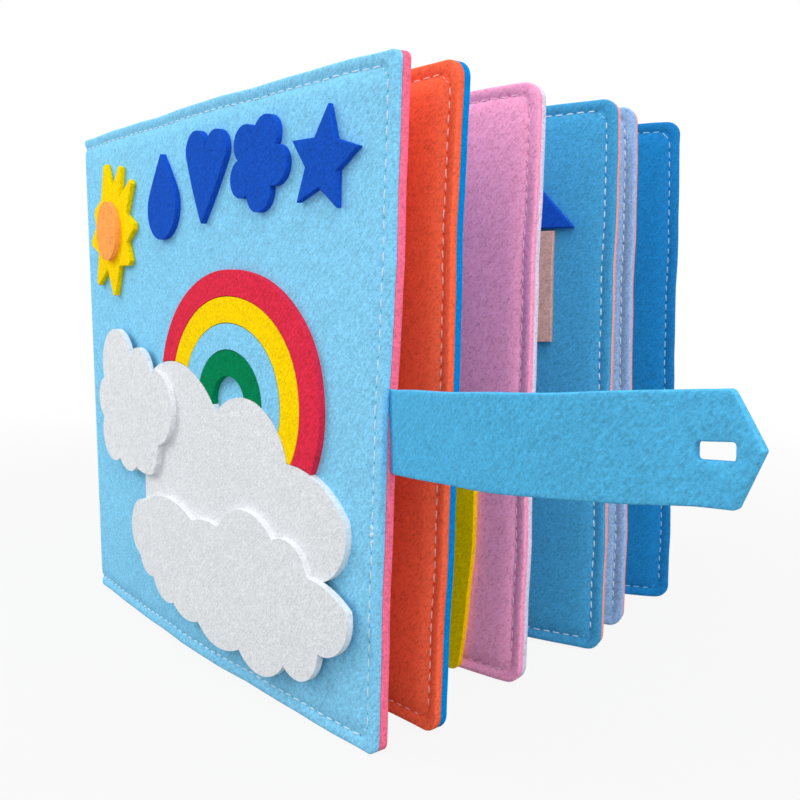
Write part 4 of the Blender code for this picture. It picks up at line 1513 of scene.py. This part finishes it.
def floor_material():
    material = bpy.data.materials.new("floor")
    material.use_nodes = True
    tree = material.node_tree
    tree.nodes.clear()
    output = tree.nodes.new("ShaderNodeOutputMaterial")
    diffuse = tree.nodes.new("ShaderNodeBsdfDiffuse")
    place = tree.nodes.new("ShaderNodeTexCoord").outputs["Object"]
    grain = noise(tree, place, 60, 3.0)
    tree.links.new(blend_colours(tree, grain, *FLOOR_GREYS), diffuse.inputs["Color"])
    white = tree.nodes.new("ShaderNodeEmission")
    paths = tree.nodes.new("ShaderNodeLightPath")
    seen = calc(tree, "MAXIMUM", paths.outputs["Is Camera Ray"], paths.outputs["Is Glossy Ray"])
    seen = calc(tree, "MAXIMUM", seen, paths.outputs["Is Transmission Ray"])
    mix = tree.nodes.new("ShaderNodeMixShader")
    away = tree.nodes.new("ShaderNodeVectorMath")
    away.operation = "LENGTH"
    tree.links.new(place, away.inputs[0])
    share = ramp(tree, away.outputs["Value"], *FLOOR_FADE, FLOOR_WHITE_SHARE, 1.0)
    tree.links.new(calc(tree, "MULTIPLY", seen, share), mix.inputs[0])
    tree.links.new(diffuse.outputs[0], mix.inputs[1])
    tree.links.new(white.outputs[0], mix.inputs[2])
    tree.links.new(mix.outputs[0], output.inputs["Surface"])
    return material


bpy.ops.object.select_all(action="DESELECT")
bpy.ops.mesh.primitive_plane_add(size=FLOOR_SIZE, location=(0, 0, -FLOOR_DROP))
floor = bpy.context.active_object
floor.name = "floor"
bpy.ops.object.transform_apply(location=True, rotation=False, scale=False)
floor.data.materials.append(floor_material())

# %% [markdown]
# ## Lamps
# The key lamp stands behind the front cover's spine edge and lights the cover from its left. A broad
# lamp in front reaches in between the pages, and one close above makes their tops brighter than
# their feet, as in the photograph. One behind the book keeps its back from going grey.

# %% Lamps and world
SKY_STRENGTH = 0.72
LAMPS = (
    ("key", (-0.60, 0.40, 0.62), 0.50, 3.9),
    ("fill", (-0.20, -1.40, 1.00), 1.20, 9.5),
    ("top", (0.00, -0.50, 0.85), 0.60, 2.0),
    ("back_light", (0.6, 1.1, 0.9), 0.9, 3.0),
)
AIM = Vector((0.0, -0.11, 0.10))


def add_lamp(name, place, size, power):
    bpy.ops.object.light_add(type="AREA", location=place)
    lamp = bpy.context.active_object
    lamp.name = name
    lamp.rotation_euler = (AIM - Vector(place)).to_track_quat("-Z", "Y").to_euler()
    lamp.data.shape = "SQUARE"
    lamp.data.size = size
    lamp.data.energy = power
    return lamp


def set_world():
    world = bpy.data.worlds.new("studio")
    bpy.context.scene.world = world
    world.use_nodes = True
    tree = world.node_tree
    sky = tree.nodes["Background"]
    paths = tree.nodes.new("ShaderNodeLightPath")
    seen = calc(tree, "MAXIMUM", paths.outputs["Is Camera Ray"], paths.outputs["Is Glossy Ray"])
    seen = calc(tree, "MAXIMUM", seen, paths.outputs["Is Transmission Ray"])
    strength = calc(tree, "MULTIPLY_ADD", seen, 1.0 - SKY_STRENGTH, SKY_STRENGTH)
    tree.links.new(strength, sky.inputs["Strength"])
    sky.inputs["Color"].default_value = (1.0, 1.0, 1.0, 1)


for lamp in LAMPS:
    add_lamp(*lamp)
set_world()
bpy.context.scene.view_settings.view_transform = "Standard"
print(len(LAMPS), "lamps")

# %% [markdown]
# ## Finish

# %% Finish
bpy.context.view_layer.update()
